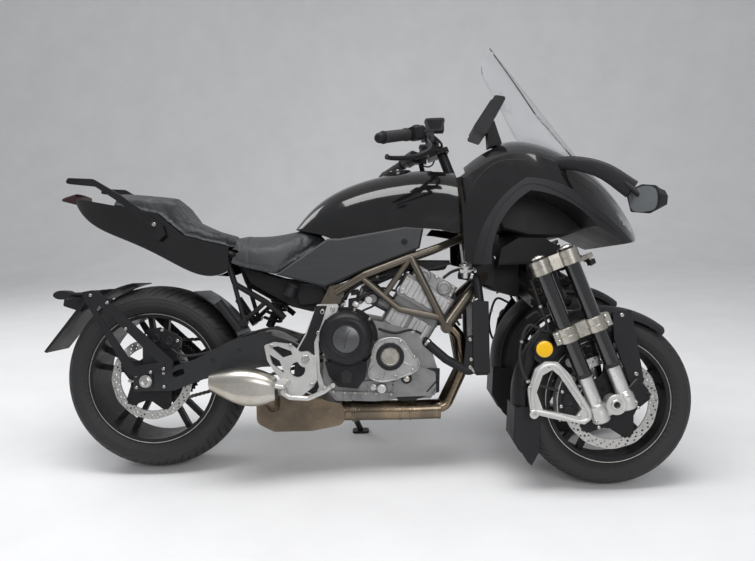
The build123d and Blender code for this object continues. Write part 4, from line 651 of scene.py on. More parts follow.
tyre_piece("rear_tyre_tread", "rear_tyre", CHASSIS, "rear_wheel", REAR_AXLE, REAR_RADIUS, REAR_WIDTH, REAR_DROP, 230,
           160, 34)
rim_edges("rear_rim_edges", CHASSIS, "rear_wheel", REAR_AXLE, 222.5, 80)
drilled_disc("rear_disc_drilled", "rear_disc", CHASSIS, "rear_wheel", REAR_AXLE, 141, -89)
for side, where in SIDES:
    body = f"front_wheel_{side}"
    tyre_piece(f"front_tyre_tread_{side}", f"front_tyre_{side}", where, body, FRONT_AXLE, FRONT_RADIUS, FRONT_WIDTH,
               FRONT_DROP, 202, 96, 32)
    rim_edges(f"front_rim_edges_{side}", where, body, FRONT_AXLE, 195, 48)
    drilled_disc(f"front_disc_drilled_{side}", f"front_disc_{side}", where, body, FRONT_AXLE, 149, -67)


# Engine, exhaust and cooling


def along_bore(distance, across, y):
    """A point of the inclined cylinders: distance up the bore, across it towards the front."""
    return Vector((860 + 0.53 * distance + 0.848 * across, y, 440 + 0.848 * distance - 0.53 * across))


def bolt_group(name, spots, radius, height):
    """Bolts that look out of the engine's right-hand side."""
    shape = Shape()
    for spot in spots:
        shape.bolt(spot, OUT, radius, height)
    shape.fixed(name, MACHINED, "cast_alloy", smooth=35)


CLUTCH_X, CLUTCH_Z = 686, 452
CRANK_X, CRANK_Z = 826, 388
clutch = Shape()
clutch.turned((CLUTCH_X, -178, CLUTCH_Z), OUT, [
    (0, 84), (4, 90), (10, 91.5), (22, 90), (36, 84), (45, 75), (50, 66), (51, 58), (49.5, 50), (49, 46.5),
    (49, 45.8), (51.4, 45), (51.8, 43.4), (52.2, 0),
], 72)
clutch.slab([(610, 374), (622, 330), (650, 292), (716, 284), (744, 320), (748, 372), (700, 384)], -182, -150)
clutch.fixed("clutch_cover_dome", COVER, "cover_paint", bevel=2.0, smooth=40)
Shape().turned((CLUTCH_X, -229, CLUTCH_Z), OUT, [(0, 43), (0.9, 43), (1.7, 41.5), (2.0, 0)], 64).fixed(
    "clutch_cover_disc", GREY_DISC, "cover_paint", smooth=40)
slot_line = Shape()
slot_line.tube([(700, -231, 481), (690, -231.2, 466), (682, -231.2, 440), (679, -231, 421)], 0.9, 4, 8)
slot_line.slab([(668, 304), (694, 304), (700, 336), (678, 350), (662, 336)], -184.2, -181)
slot_line.fixed("clutch_cover_recess", SOFT_RUBBER, "cover_paint", smooth=40)

crank_outline = [
    (786, 437), (812, 447), (838, 449), (868, 441), (886, 414), (900, 392), (920, 370), (916, 348), (896, 332),
    (864, 322), (838, 313), (800, 307), (772, 313), (757, 326), (756, 350), (764, 376), (770, 413),
]
Shape().slab(crank_outline, -190, -150).fixed("crank_cover_body", CRANK, "cast_alloy", bevel=3.0, smooth=40)
rim_line = [Vector((x, -189.5, z)) for x, z in crank_outline]
ribs = Shape()
ribs.tube(rim_line + rim_line[:2], 3.4, 3, 10)


def off_course(point, a):
    """How far a point of the crank cover lies from the direction a, as an angle."""
    turn = math.atan2(point.z - CRANK_Z, point.x - CRANK_X) - a
    return abs(math.atan2(math.sin(turn), math.cos(turn)))


for a in map(math.radians, (20, 68, 115, 158, 205, 250, 292, 335)):
    start = (CRANK_X + 42 * math.cos(a), -190, CRANK_Z + 42 * math.sin(a))
    ribs.rod(start, min(rim_line, key=lambda p: off_course(p, a)), 2.4, 2.4, 10)
ribs.fixed("crank_cover_ribs", CRANK, "cast_alloy", smooth=50)
Shape().hoop((CRANK_X, -190, CRANK_Z), OUT, [(0, 46), (7, 45), (9, 43), (9, 33), (5, 31.5), (0, 31.5)], 64).fixed(
    "crank_cover_ring", COVER, "cover_paint", smooth=40)
blank = Shape()
blank.turned((CRANK_X, -190, CRANK_Z), OUT, [(0, 30), (5, 30), (6.2, 28.6), (6.2, 25.5), (5.6, 25), (5.6, 0)], 64)
blank.fixed("crank_cover_blank", MACHINED, "cast_alloy", smooth=35)
bolt_group("crank_cover_bolts", [(x, -190, z) for x, z in (
    (779, 426), (862, 436), (906, 384), (899, 342), (842, 323), (782, 317), (763, 346), (766, 388))], 5.2, 6.5)
bolt_group("clutch_cover_bolts", [(CLUTCH_X + 96 * math.cos(a), -158, CLUTCH_Z + 96 * math.sin(a))
                                  for a in map(math.radians, (38, 74, 110, 146, 182, 214))], 5.2, 7.0)
Shape().turned((CLUTCH_X, -150, CLUTCH_Z), OUT, [(0, 101), (7, 101), (9, 99), (9, 88)], 72).fixed(
    "clutch_flange", COVER, "cover_paint", smooth=40)

# Lower crankcase: sump with ribs, flange bolts, drain plugs and oil filler
sump = Shape()
sump.slab([(632, 296), (640, 252), (700, 240), (770, 236), (830, 240), (846, 262), (850, 300), (756, 306)], -156, -120)
for x in (662, 690, 720, 750, 782, 812):
    sump.slab([(x, 292), (x - 4, 292), (x - 1, 243), (x + 5, 243)], -161, -150)
sump.slab([(628, 276), (628, 268), (838, 256), (838, 264)], -164, -150)
sump.fixed("sump_ribs", ENGINE, "engine_alloy", bevel=1.2)
bolt_group("sump_bolts", [(x, -164, z) for x, z in (
    (636, 272), (672, 270), (706, 268), (742, 266), (776, 264), (826, 261))], 4.6, 6.0)
plugs = Shape()
plugs.turned((795, -160, 281), OUT, [(0, 17), (12, 16), (16, 14), (17, 9), (15, 8), (15, 0)], 32)
plugs.bolt((768, -160, 284), OUT, 7.5, 9, "hex")
plugs.fixed("drain_plugs", SILVER, "cast_alloy")
Shape().turned((878, -160, 312), OUT, [(0, 18), (10, 18), (14, 16.5), (14, 11), (10, 10)], 32).fixed(
    "oil_filler", COVER, "cover_paint")
Shape().turned((878, -172, 312), OUT, [(0, 10), (4, 10), (5, 8.5), (5, 0)], 24).fixed(
    "oil_filler_face", MACHINED, "cast_alloy")

# Cylinder side: raised panels, fins, and the head cover with its bolts


def bore_panel(shape, corners, low_y, high_y):
    """A plate whose corners are given along and across the cylinders."""
    outline = [along_bore(distance, across, 0) for distance, across in corners]
    shape.slab([(p.x, p.z) for p in outline], low_y, high_y)


panel = Shape()
bore_panel(panel, [(28, -76), (92, -76), (92, -8), (28, -8)], -145, -137)
bore_panel(panel, [(20, 2), (92, 2), (92, 70), (44, 70)], -145, -137)
bore_panel(panel, [(136, -88), (196, -88), (196, 84), (150, 84), (136, 60)], -156, -149)
for across in (-62, -22, 18, 52):
    bore_panel(panel, [(40, across), (86, across), (90, across + 4), (90, across + 8), (86, across + 12),
                       (40, across + 12), (36, across + 8), (36, across + 4)], -151, -144)
for across in (-70, -36, -2, 32, 62):
    bore_panel(panel, [(142, across), (190, across), (193, across + 8), (190, across + 14), (142, across + 14),
                       (139, across + 8)], -162, -155)
panel.fixed("cylinder_panels", PALE_ALLOY, "engine_alloy", bevel=1.6)
fins = Shape()
for k in range(7):
    low, high = 97 + 5.4 * k, 99.4 + 5.4 * k
    bore_panel(fins, [(low, -84), (high, -84), (high, 80), (low, 80)], -147, -136)
fins.fixed("cylinder_fins", ENGINE, "engine_alloy", bevel=0.4)
cam = Shape()
bore_panel(cam, [(204, -72), (238, -70), (246, -56), (246, -12), (236, -4), (236, 10), (246, 20), (246, 58), (236, 74),
                 (204, 76)], -152, -143)
for across in (-38, 40):
    centre = along_bore(222, across, -150)
    cam.turned(centre, OUT, [(0, 25), (7, 24), (9, 21), (9, 15), (7, 14), (7, 0)], 32)
cam.fixed("cam_cover_end", ENGINE, "engine_alloy", bevel=1.4)
bolt_group("cylinder_bolts", [along_bore(*place) for place in (
    (212, -66, -152), (240, -64, -152), (241, 0, -152), (240, 66, -152), (212, 70, -152),
    (144, -80, -156), (190, -80, -156), (190, 78, -156), (22, -70, -138), (22, 66, -138))], 5.0, 6.0)
valve = Shape()
valve.turned((872, -140, 603), OUT, [(0, 19), (6, 19), (9, 17), (9, 12), (15, 11), (17, 9), (17, 4), (14, 3.5),
                                     (14, 0)], 32)
valve.fixed("air_valve", SILVER, "cast_alloy")

# Throttle bodies, rails, connectors and looms in the space behind the cylinders
intake = Shape()
for y in (-112, -38, 38, 112):
    intake.turned((772, y - 27, 578), (0, 1, 0), [(0, 15), (4, 18), (50, 18), (54, 15)], 28)
for y in (-96, 0, 96):
    intake.rod((742, y, 600), (846, y, 540), 26, 24, 32)
    intake.turned((742, y, 600), (-0.87, 0, 0.5), [(0, 27), (6, 30), (12, 30), (16, 27)], 32)
intake.rod((730, -128, 566), (730, 128, 566), 7, 7, 16)
intake.fixed("throttle_bodies", ENGINE, "engine_alloy", bevel=0.6)
boxes = Shape()
for low, high in (((690, -150, 548), (726, -118, 584)), ((700, -146, 590), (728, -124, 612)),
                  ((744, -148, 604), (776, -126, 630)), ((768, -150, 634), (800, -128, 652)),
                  ((618, -154, 516), (652, -128, 540)), ((850, -132, 636), (884, -112, 654)),
                  ((1030, -140, 560), (1054, -120, 590)), ((1046, -146, 500), (1070, -126, 528))):
    (x0, y0, z0), (x1, y1, z1) = low, high
    boxes.slab([(x0, z0), (x1, z0 + 3), (x1 - 3, z1), (x0 + 2, z1 - 4)], y0, y1)
boxes.fixed("loom_connectors", PLASTIC, "black_plastic", bevel=1.6)
pale = Shape()
for x, z, y in ((736, 622, -142), (756, 632, -146), (784, 645, -142), (668, 556, -146), (690, 540, -150)):
    pale.slab([(x, z), (x + 14, z + 2), (x + 12, z + 12), (x - 1, z + 9)], y - 5, y + 5)
    pale.bolt((x + 6, y - 5, z + 6), OUT, 4.0, 4.0)
pale.turned((716, -150, 560), OUT, [(0, 12), (6, 12), (8, 9), (12, 9), (13, 6), (13, 0)], 24)
pale.turned((760, -150, 574), OUT, [(0, 14), (4, 14), (7, 11), (7, 0)], 24)
pale.fixed("throttle_fittings", SILVER, "cast_alloy", bevel=0.8)
loom = Shape()
for route, radius in (
    ([(640, -150, 516), (660, -158, 560), (700, -156, 606), (756, -150, 640), (830, -140, 660)], 5.0),
    ([(650, -146, 508), (690, -152, 540), (740, -154, 586), (800, -146, 612), (858, -140, 600)], 4.0),
    ([(604, -150, 470), (612, -154, 520), (640, -152, 566), (690, -148, 610)], 5.5),
    ([(700, -140, 520), (742, -150, 540), (782, -150, 560), (800, -144, 600)], 3.6),
    ([(1046, -130, 600), (1028, -138, 560), (1040, -138, 520), (1062, -134, 480)], 4.2),
    ([(1010, -146, 640), (1040, -140, 660), (1074, -128, 668), (1110, -110, 660)], 5.0),
    ([(900, -140, 690), (940, -142, 672), (990, -138, 676), (1040, -128, 690)], 4.0),
    ([(790, -150, 478), (812, -156, 470), (850, -154, 462), (900, -148, 470), (940, -146, 452)], 4.0),
):
    loom.tube(route, radius, 8, 12)
loom.fixed("fixed_looms", SOFT_RUBBER, "black_plastic", smooth=60)
airbox = Shape()
airbox.loops([[(x, y, z) for x, z in ((690, 640), (930, 704), (1040, 700), (1020, 668), (900, 668), (760, 612))]
              for y in (-118, 118)])
airbox.fixed("airbox", PLASTIC, "black_plastic", bevel=6.0)

# Exhaust joints and shields
PIPE = 33
joints = Shape()
for centre, axis in (((716, -102, 196), (1, 0.02, 0)), ((854, -108, 196), (1, 0, 0)), ((888, -110, 196), (1, 0, 0)),
                     ((986, -108, 197), (1, 0, 0.02))):
    joints.hoop(centre, axis, [(-3.4, PIPE - 0.6), (-2.2, PIPE + 1.8), (2.2, PIPE + 1.8), (3.4, PIPE - 0.6)], 48)
joints.hoop((698, -101, 196), (1, 0.02, 0), [(-9, PIPE - 0.5), (-8, PIPE + 3.6), (8, PIPE + 3.6), (9, PIPE - 0.5)], 48)
joints.rod((698, -141, 186), (698, -141, 208), 4.4, 4.4, 16)
joints.fixed("exhaust_joints", HEATED, "exhaust_steel", smooth=50)
tip = Shape()
tip.turned((238, -200, 321), (-1, 0, 0.12), [(-14, 25), (-2, 27), (1.5, 26.5), (1.5, 23.5), (-2, 22.5), (-30, 22)], 40)
tip.fixed("silencer_tip", STEEL, "silencer_steel", smooth=50)
Shape().turned((262, -200, 318), (-1, 0, 0.12), [(0, 21), (2, 21), (3, 8), (5, 8), (5, 0)], 32).fixed(
    "silencer_core", SOFT_RUBBER, "exhaust_steel", smooth=40)
belly = Shape()
belly.slab([(830, 292), (912, 296), (950, 342), (990, 340), (986, 262), (900, 236), (848, 236)], -158, -140)
belly.slab([(936, 262), (948, 262), (984, 300), (980, 310)], -162, -156)
belly.slab([(954, 256), (962, 256), (986, 284), (986, 294)], -162, -156)
belly.fixed("belly_panel", PLASTIC, "black_plastic", bevel=2.0)

# Radiator core, brackets, filler neck and hose clips
core = Shape()
for i in range(46):
    z = 336 + i * 4.55
    core.slab([(1117.5, z), (1118.5, z + 1.1), (1143.5, z + 1.1), (1142.5, z)], -138, 138)
for i in range(24):
    y = -134 + i * 11.65
    core.slab([(1119, 334), (1141, 334), (1141, 544), (1119, 544)], y - 0.9, y + 0.9)
core.fixed("radiator_fins", CORE_BLACK, "black_paint", smooth=30)
side_tank = Shape()
side_tank.slab([(1098, 330), (1152, 324), (1154, 560), (1104, 566), (1098, 520)], -184, -176)
side_tank.slab([(1066, 350), (1098, 330), (1098, 452), (1078, 446)], -180, -172)
side_tank.fixed("radiator_side_cover", PLASTIC, "black_plastic", bevel=2.2)
bolt_group("radiator_bolts", [(1090, -180, 436), (1091, -180, 371), (1088, -180, 345)], 6.0, 6.0)
neck = Shape()
neck.rod((1086, -138, 640), (1086, -150, 676), 13, 13, 24)
neck.turned((1086, -150, 676), (0, -0.3, 0.95), [(0, 21), (5, 22), (8, 20), (8, 12), (10, 10), (10, 0)], 28)
neck.rod((1066, -149, 662), (1112, -151, 662), 9, 9, 20)
neck.bolt((1112, -151, 662), (1, 0, 0), 9, 9, "hex")
neck.fixed("filler_neck", SILVER, "cast_alloy", bevel=0.6)
clips = Shape()
for centre, axis, radius in (((1113, -158, 566), (0.35, 0, -0.94), 16.2), ((1104, -150, 648), (-1, 0, 0.3), 16.2),
                             ((1096, -167, 336), (0.8, 0, 0.6), 16.2), ((952, -150, 424), (-0.7, 0.3, 0.65), 16.2)):
    clips.hoop(centre, axis, [(-4, radius - 0.8), (-4, radius + 0.6), (4, radius + 0.6), (4, radius - 0.8)], 32)
    u, v = basis(axis)
    clips.rod(Vector(centre) + u * (radius + 2) - v * 6, Vector(centre) + u * (radius + 2) + v * 6, 3.4, 3.4, 12)
clips.fixed("hose_clips", STEEL, "disc_steel")

# Front corners: fork details in the steering frame, drawn for the right-hand wheel

CASTER = math.radians(20.0)
TRAIL = 74.0
RISE = Vector((-math.sin(CASTER), 0, math.cos(CASTER)))
FORE = Vector((math.cos(CASTER), 0, math.sin(CASTER)))
GROUND = Vector((FRONT_AXLE.x + TRAIL, 0, 0))


def steer(u, v, s):
    """A point from its place ahead of, beside and along the steering axis."""
    return GROUND + FORE * u + Vector((0, v, 0)) + RISE * s


def about_axle(radius, degrees, y):
    """A point round the front axle."""
    a = math.radians(degrees)
    return Vector((FRONT_AXLE.x + radius * math.cos(a), y, FRONT_AXLE.z + radius * math.sin(a)))


FORK_Y = -97.0
REAR_TUBE, FORE_TUBE = -29.0, 63.0
for side, where in SIDES:
    corner = f"corner_{side}"
    rings = Shape()
    for low in (731.0, 510.0):
        for u in (REAR_TUBE, FORE_TUBE):
            centre = steer(u, FORK_Y, low)
            rings.hoop(centre, RISE, [(1.0, 24.9), (1.0, 31.9), (1.6, 32.6), (20.4, 32.6), (21.0, 31.9), (21.0, 31.1),
                                      (24.0, 31.1), (24.0, 31.9), (24.6, 32.6), (44.4, 32.6), (45.0, 31.9),
                                      (45.0, 24.9)], 48)
    rings.piece(f"clamp_rings_{side}", where, corner, MACHINED, "clamp_alloy")
    caps = Shape()
    for u in (REAR_TUBE, FORE_TUBE):
        top = steer(u, FORK_Y, 781.0)
        caps.turned(top, RISE, [(0, 23.6), (5.0, 23.6), (7.0, 22.0), (7.2, 16.8), (8.6, 16.6), (8.6, 9.4), (6.0, 9.0),
                                (6.0, 0.1)], 32)
        caps.turned(top + RISE * 6.0, RISE, [(0, 8.0), (4.2, 8.0), (5.0, 7.0)], 6)
    caps.piece(f"fork_caps_{side}", where, corner, MACHINED, "clamp_alloy")
    pinch = Shape()
    for u, way in ((REAR_TUBE, -1), (FORE_TUBE, 1)):
        for step in (-11.0, 11.0):
            pinch.bolt(steer(u + way * 33.0, FORK_Y - 15.0, 533.0 + step), OUT, 5.2, 5.4)
    for u, v in ((-8.0, 8.0), (42.0, 8.0)):
        pinch.bolt(steer(u, FORK_Y + v, 777.0), RISE, 5.0, 6.0, "hex")
    pinch.piece(f"clamp_bolts_{side}", where, corner, STEEL, "disc_steel")
    sleeves = Shape()
    for u, foot in ((REAR_TUBE, 296.0), (FORE_TUBE, 304.0)):
        ribs = [(0.0, 21.2), (0.0, 22.4), (5.0, 22.4), (6.0, 21.5)]
        for k in range(10):
            base = 10.0 + k * 8.6
            ribs += [(base, 21.6), (base + 0.3, 22.1), (base + 5.6, 22.1), (base + 5.9, 21.6)]
        ribs += [(98.0, 21.5), (98.0, 21.2)]
        sleeves.hoop(steer(u, FORK_Y, foot), RISE, [(0.0, 20.4)] + ribs + [(98.0, 20.4)], 36)
    sleeves.piece(f"fork_sleeves_{side}", where, corner, FORK_SILVER, "cast_alloy")
    seals = Shape()
    for u in (REAR_TUBE, FORE_TUBE):
        seals.hoop(steer(u, FORK_Y, 392.0), RISE, [(0, 21.0), (0, 25.6), (3.0, 26.4), (9.0, 26.4), (12.0, 25.2),
                                                   (12.0, 21.0)], 36)
    seals.piece(f"fork_seals_{side}", where, corner, SOFT_RUBBER, "black_plastic")
    feet = Shape()
    for u, foot in ((REAR_TUBE, 244.0), (FORE_TUBE, 252.0)):
        feet.hoop(steer(u, FORK_Y, foot), RISE, [(0, 16.0), (0, 24.0), (4.0, 27.6), (36.0, 27.8), (40.0, 26.4),
                                                 (52.0, 23.6), (55.0, 22.5), (55.0, 18.0)], 36)
    feet.hoop((1510, -114.2, 274.5), OUT, [(0, 17.5), (0, 29.6), (3.0, 31.0), (9.0, 31.0), (11.0, 28.5), (11.0, 17.5)],
              40)
    feet.hoop((1510, -118.0, 274.5), OUT, [(0, 10.4), (0, 16.8), (8.0, 16.8), (10.0, 15.0), (10.0, 10.4)], 36)
    feet.piece(f"fork_feet_{side}", where, corner, SILVER, "cast_alloy")
    foot_bolts = Shape()
    for u, s in ((-52.0, 238.0), (-52.0, 256.0), (87.0, 250.0), (87.0, 268.0)):
        foot_bolts.bolt(steer(u * 0.96, FORK_Y - 19.0, s), OUT, 4.8, 5.0)
    for x, z in ((1262, 252), (1250, 330), (1400, 240), (1412, 276), (1310, 396)):
        foot_bolts.bolt((x, -111.2, z), OUT, 5.4, 4.6)
    for x, z in ((1549, 544), (1588, 360), (1600, 318)):
        foot_bolts.bolt((x, -78.2, z), OUT, 6.4, 4.6)
    foot_bolts.piece(f"corner_bolts_{side}", where, corner, STEEL, "disc_steel")

    Shape().slab([(1545, 302), (1590, 350), (1620, 312), (1599, 274), (1550, 266)], -93.4, -90.5).piece(
        f"bracket_foot_{side}", where, corner, SATIN_BLACK, "black_paint", bevel=0.8)
    walls = Shape()
    for low, high in ((-68.0, -64.0), (64.0, 68.0)):
        walls.slab([(1214, 262), (1207, 160), (1246, 92), (1260, 78), (1285, 120), (1290, 200), (1280, 262)], low, high)
    walls.piece(f"mudflap_walls_{side}", where, corner, PLASTIC, "black_plastic", bevel=1.5)

    # Forged loop with a rounded rim round its window
    loop = [(1252, 252), (1246, 322), (1270, 388), (1300, 410), (1338, 408), (1372, 372), (1440, 250), (1418, 214),
            (1330, 232)]
    rim_line = Shape()
    ring_points = [Vector((x, -112.5, z)) for x, z in loop]
    middle = sum(ring_points, Vector()) / len(ring_points)
    inset = [p + (middle - p).normalized() * 13.0 for p in ring_points]
    line = smooth_path(inset + [inset[0]], 6)[:-1]
    rings_of_loop = []
    for i, point in enumerate(line):
        way = (line[(i + 1) % len(line)] - line[i - 1]).normalized()
        across = way.cross(Vector((0, 1, 0))).normalized()
        rings_of_loop.append(oval(point, across, Vector((0, 1, 0)), 6.4, 4.4, 10))
    rim_line.loops(rings_of_loop, wrap=True)
    rim_line.turned((1262, -111.0, 250), OUT, [(0, 14), (5, 14), (7, 12), (7, 7), (4, 6.5), (4, 0)], 24)
    rim_line.piece(f"loop_rim_{side}", where, corner, SILVER, "cast_alloy")

    # Radial caliper: its face, the bosses of its pistons, bridge bolts and a bleed nipple
    caliper = Shape()
    arc = [150 + 6 * k for k in range(9)]
    outline = [about_axle(170.0, a, 0) for a in arc] + [about_axle(108.0, a, 0) for a in reversed(arc)]
    caliper.slab([(p.x, p.z) for p in outline], -99.0, -93.2)
    for degrees in (158, 174, 190):
        caliper.turned(about_axle(139.0, degrees, -98.5), OUT, [(0, 19.5), (4.0, 19.5), (5.5, 18.0), (5.5, 13.0),
                                                                (3.8, 12.4), (3.8, 0)], 28)
    caliper.piece(f"caliper_face_{side}", where, corner, COVER, "cover_paint", bevel=1.2)
    caliper_bits = Shape()
    for degrees in (151.5, 166, 182, 196.5):
        caliper_bits.bolt(about_axle(162.0, degrees, -99.0), OUT, 5.0, 4.6)
    caliper_bits.turned(about_axle(120.0, 152.0, -98.0), OUT, [(0, 4.2), (6, 4.2), (7, 3.0), (13, 3.0), (14, 2.2)], 12)
    caliper_bits.piece(f"caliper_bolts_{side}", where, corner, STEEL, "disc_steel")

    # Amber reflector: a facetted lens in a dark bezel
    bezel = Shape()
    bezel.hoop((1300, -102.4, 448), OUT, [(0, 24.5), (0, 29.2), (6.6, 29.2), (8.2, 27.6), (8.2, 24.5)], 44)
    bezel.piece(f"reflector_bezel_{side}", where, corner, PLASTIC, "black_plastic")
    glass = Shape()
    glass.turned((1300, -106.5, 448), OUT, [(0, 27.0), (2.6, 27.0), (4.6, 24.6), (5.6, 16), (6.0, 0)], 44)
    glass.piece(f"reflector_lens_{side}", where, corner, AMBER, "lamp_glass")

    # Fixed lines that follow the fork, the fender and the caliper
    lines = Shape()
    lines.tube([steer(-66, -74, 720), steer(-70, -76, 640), steer(-78, -78, 560), (1262, -80, 520), (1236, -84, 470),
                (1228, -92, 410), (1248, -104, 350), (1304, -104, 330), (1340, -98, 318)], 4.6, 7, 10)
    lines.tube([steer(-60, -60, 720), steer(-72, -62, 610), (1290, -62, 560), (1256, -66, 540)], 3.6, 7, 10)
    lines.piece(f"fixed_brake_line_{side}", where, corner, HOSE, "black_plastic")
    grips = Shape()
    for centre, way in ((steer(-70, -76, 640), RISE), ((1236, -84, 470), Vector((0.2, 0, 1))),
                        ((1248, -104, 350), Vector((-0.3, 0, 0.95)))):
        grips.hoop(Vector(centre), way, [(-4, 4.2), (-4, 6.4), (4, 6.4), (4, 4.2)], 16)
    grips.piece(f"line_clips_{side}", where, corner, STEEL, "disc_steel")

# Bodywork, seats and controls, in the chassis frame


def surface_of(obj):
    """A search tree over an object's mesh, in the upright millimetre frame."""
    back = CHASSIS.inverted()
    mesh = obj.data
    return BVHTree.FromPolygons([back @ v.co for v in mesh.vertices], [tuple(p.vertices) for p in mesh.polygons])


def touch(tree, start, way):
    """Where a line meets the surface, and the surface's direction there."""
    way = Vector(way).normalized()
    place, normal, _, _ = tree.ray_cast(Vector(start), way)
    if place is None:
        place, normal, _, _ = tree.find_nearest(Vector(start))
    return place, (normal if normal.dot(way) < 0 else -normal)


def side_bolts(shape, tree, hand, reach, least, spots, height, sunk=0.0):
    """Bolts where level lines from one side meet a surface more than least from the middle."""
    inward, outward = Vector((0, -hand, 0)), Vector((0, hand, 0))
    for x, z, radius in spots:
        place = tree.ray_cast(Vector((x, hand * reach, z)), inward)[0]
        if place is not None and abs(place.y) > least:
            shape.bolt(place - inward * sunk, outward, radius, height)


# Padded seats: the solid's mesh, a little smaller, swollen by cloth pressure, then capped and grooved

VOXEL = 0.0052
INSET, SWELL_CAP = 0.0045, 0.0075
CLOTH_STEPS = 20


def baked(obj):
    """The object's mesh with its modifiers, which it then gives up."""
    graph = bpy.context.evaluated_depsgraph_get()
    mesh = bpy.data.meshes.new_from_object(obj.evaluated_get(graph))
    obj.modifiers.clear()
    return mesh


def coordinates(mesh):
    flat = np.empty(len(mesh.vertices) * 3)
    mesh.vertices.foreach_get("co", flat)
    return flat.reshape(-1, 3)


def swollen(obj):
    """Where cloth under pressure has moved to after a few steps."""
    cloth = obj.modifiers.new("cloth", "CLOTH")
    cloth.settings.use_pressure = True
    cloth.settings.uniform_pressure_force = 4.0
    cloth.settings.effector_weights.gravity = 0.0
    cloth.settings.quality = 4
    cloth.settings.tension_stiffness = 20.0
    cloth.settings.compression_stiffness = 20.0
    cloth.collision_settings.use_collision = False
    for step in range(1, CLOTH_STEPS + 1):
        bpy.context.scene.frame_set(step)
    full = coordinates(baked(obj))
    bpy.context.scene.frame_set(1)
    return full


def cushion(node, name, grooves):
    """A seat as a soft piece; each groove is a plane, its direction, depth and half width."""
    mesh = nodes[node].data.copy()
    mesh.materials.clear()
    mesh.materials.append(SEAT)
    obj = added(name, mesh)
    remesh = obj.modifiers.new("remesh", "REMESH")
    remesh.mode = "VOXEL"
    remesh.voxel_size = VOXEL
    bpy.context.view_layer.update()
    solid = obj.data = baked(obj)
    normals = np.array([tuple(v.normal) for v in solid.vertices])
    small = coordinates(solid) - normals * INSET
    solid.vertices.foreach_set("co", small.ravel())
    moved = swollen(obj) - small
    length = np.linalg.norm(moved, axis=1, keepdims=True)
    moved *= np.minimum(1.0, SWELL_CAP / np.maximum(length, 1e-9))
    upper = np.clip(normals @ np.array([0.0, math.sin(LEAN), math.cos(LEAN)]) * 1.5 + 0.9, 0.0, 1.0)[:, None]
    placed = small + moved * upper + normals * (INSET * 0.94) * (1 - upper)
    back = np.array(CHASSIS.inverted())
    body = placed @ back[:3, :3].T + back[:3, 3]
    for plane_point, plane_way, depth, half in grooves:
        plane_way = np.array(Vector(plane_way).normalized())
        away = np.abs((body - np.array(plane_point)) @ plane_way)
        dip = depth * np.clip(1 - away / half, 0.0, 1.0) ** 2
        placed -= normals * (dip[:, None] / 1000) * upper
    solid.vertices.foreach_set("co", placed.ravel())
    solid.update()
    finer = obj.modifiers.new("finer", "SUBSURF")
    finer.levels = 1
    finer.render_levels = 1
    obj.data = baked(obj)
    obj.data.shade_smooth()
    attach(obj, "chassis")
    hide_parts(node)
    return surface_of(obj)


STITCH_ARC, STITCH_RAYS, STITCH_STEP, STITCH_SPREAD = 100, 260, 5.0, 2.6


def stitches(name, tree, plane_point, plane_way, centre_z):
    """A double row of stitches where a plane meets a cushion's top and sides."""
    plane_way = Vector(plane_way).normalized()
    rise = (UP - plane_way * plane_way.z).normalized()
    middle = Vector((plane_point[0], 0, centre_z))
    line = []
    for k in range(STITCH_RAYS):
        a = math.radians(-STITCH_ARC + 2 * STITCH_ARC * k / (STITCH_RAYS - 1))
        way = (Vector((0, 1, 0)) * math.sin(a) + rise * math.cos(a)).normalized()
        place, normal, _, _ = tree.ray_cast(middle + way * 400, -way)
        if place is not None:
            line.append((place, normal))
    row = Shape()
    run = 0.0
    last = line[0][0]
    for (place, normal), (ahead, _) in zip(line, line[1:]):
        run += (place - last).length
        last = place
        if run >= STITCH_STEP:
            run = 0.0
            way = (ahead - place).normalized()
            for side in (-STITCH_SPREAD, STITCH_SPREAD):
                base = place + plane_way * side + normal * 0.25
                row.rod(base - way * 1.6, base + way * 1.6, 0.55, steps=6)
    row.fixed(name, THREAD, "seat_vinyl")


RIDER_SEAM = (352, 0, 790), (1, 0, 0.12)
PILLION_SEAM = (88, 0, 930), (1, 0, -0.5)
rider = cushion("rider_seat", "rider_cushion", [
    (*RIDER_SEAM, 2.6, 7.0), ((300, 0, 790), (1, 0, 0.12), 1.2, 5.0),
])
pillion = cushion("pillion_seat", "pillion_cushion", [
    (*PILLION_SEAM, 2.4, 6.0), ((286, 0, 800), (1, 0, 0.12), 1.6, 6.0), ((-4, 0, 950), (1, 0, -0.2), 1.8, 5.0),
])
stitches("rider_seat_stitching", rider, *RIDER_SEAM, 730)
stitches("pillion_seat_stitching", pillion, *PILLION_SEAM, 880)

# Tank: filler cap with its ring and screws, and a bar across its top
tank = surface_of(nodes["fuel_tank"])
cap_place, cap_normal = touch(tank, (872, 0, 1200), (0, 0, -1))
cap = Shape()
cap.turned(cap_place - cap_normal * 2, cap_normal, [(0, 47), (5.5, 47), (7, 45.5), (7, 37), (8.4, 36), (10, 33),
                                                    (10.4, 0)], 48)
cap.fixed("fuel_filler_cap", SATIN_BLACK, "black_paint")
cap_screws = Shape()
side_axis, cross_axis = basis(cap_normal)
for a in full_turn(5):
    cap_screws.bolt(cap_place + spoke(side_axis, cross_axis, a) * 41.0 + cap_normal * 4.6, cap_normal, 3.6, 3.4)
cap_screws.rod(cap_place + side_axis * -16 + cap_normal * 10.2, cap_place + side_axis * 16 + cap_normal * 10.2, 4.2,
               steps=12)
cap_screws.fixed("filler_cap_screws", STEEL, "disc_steel")

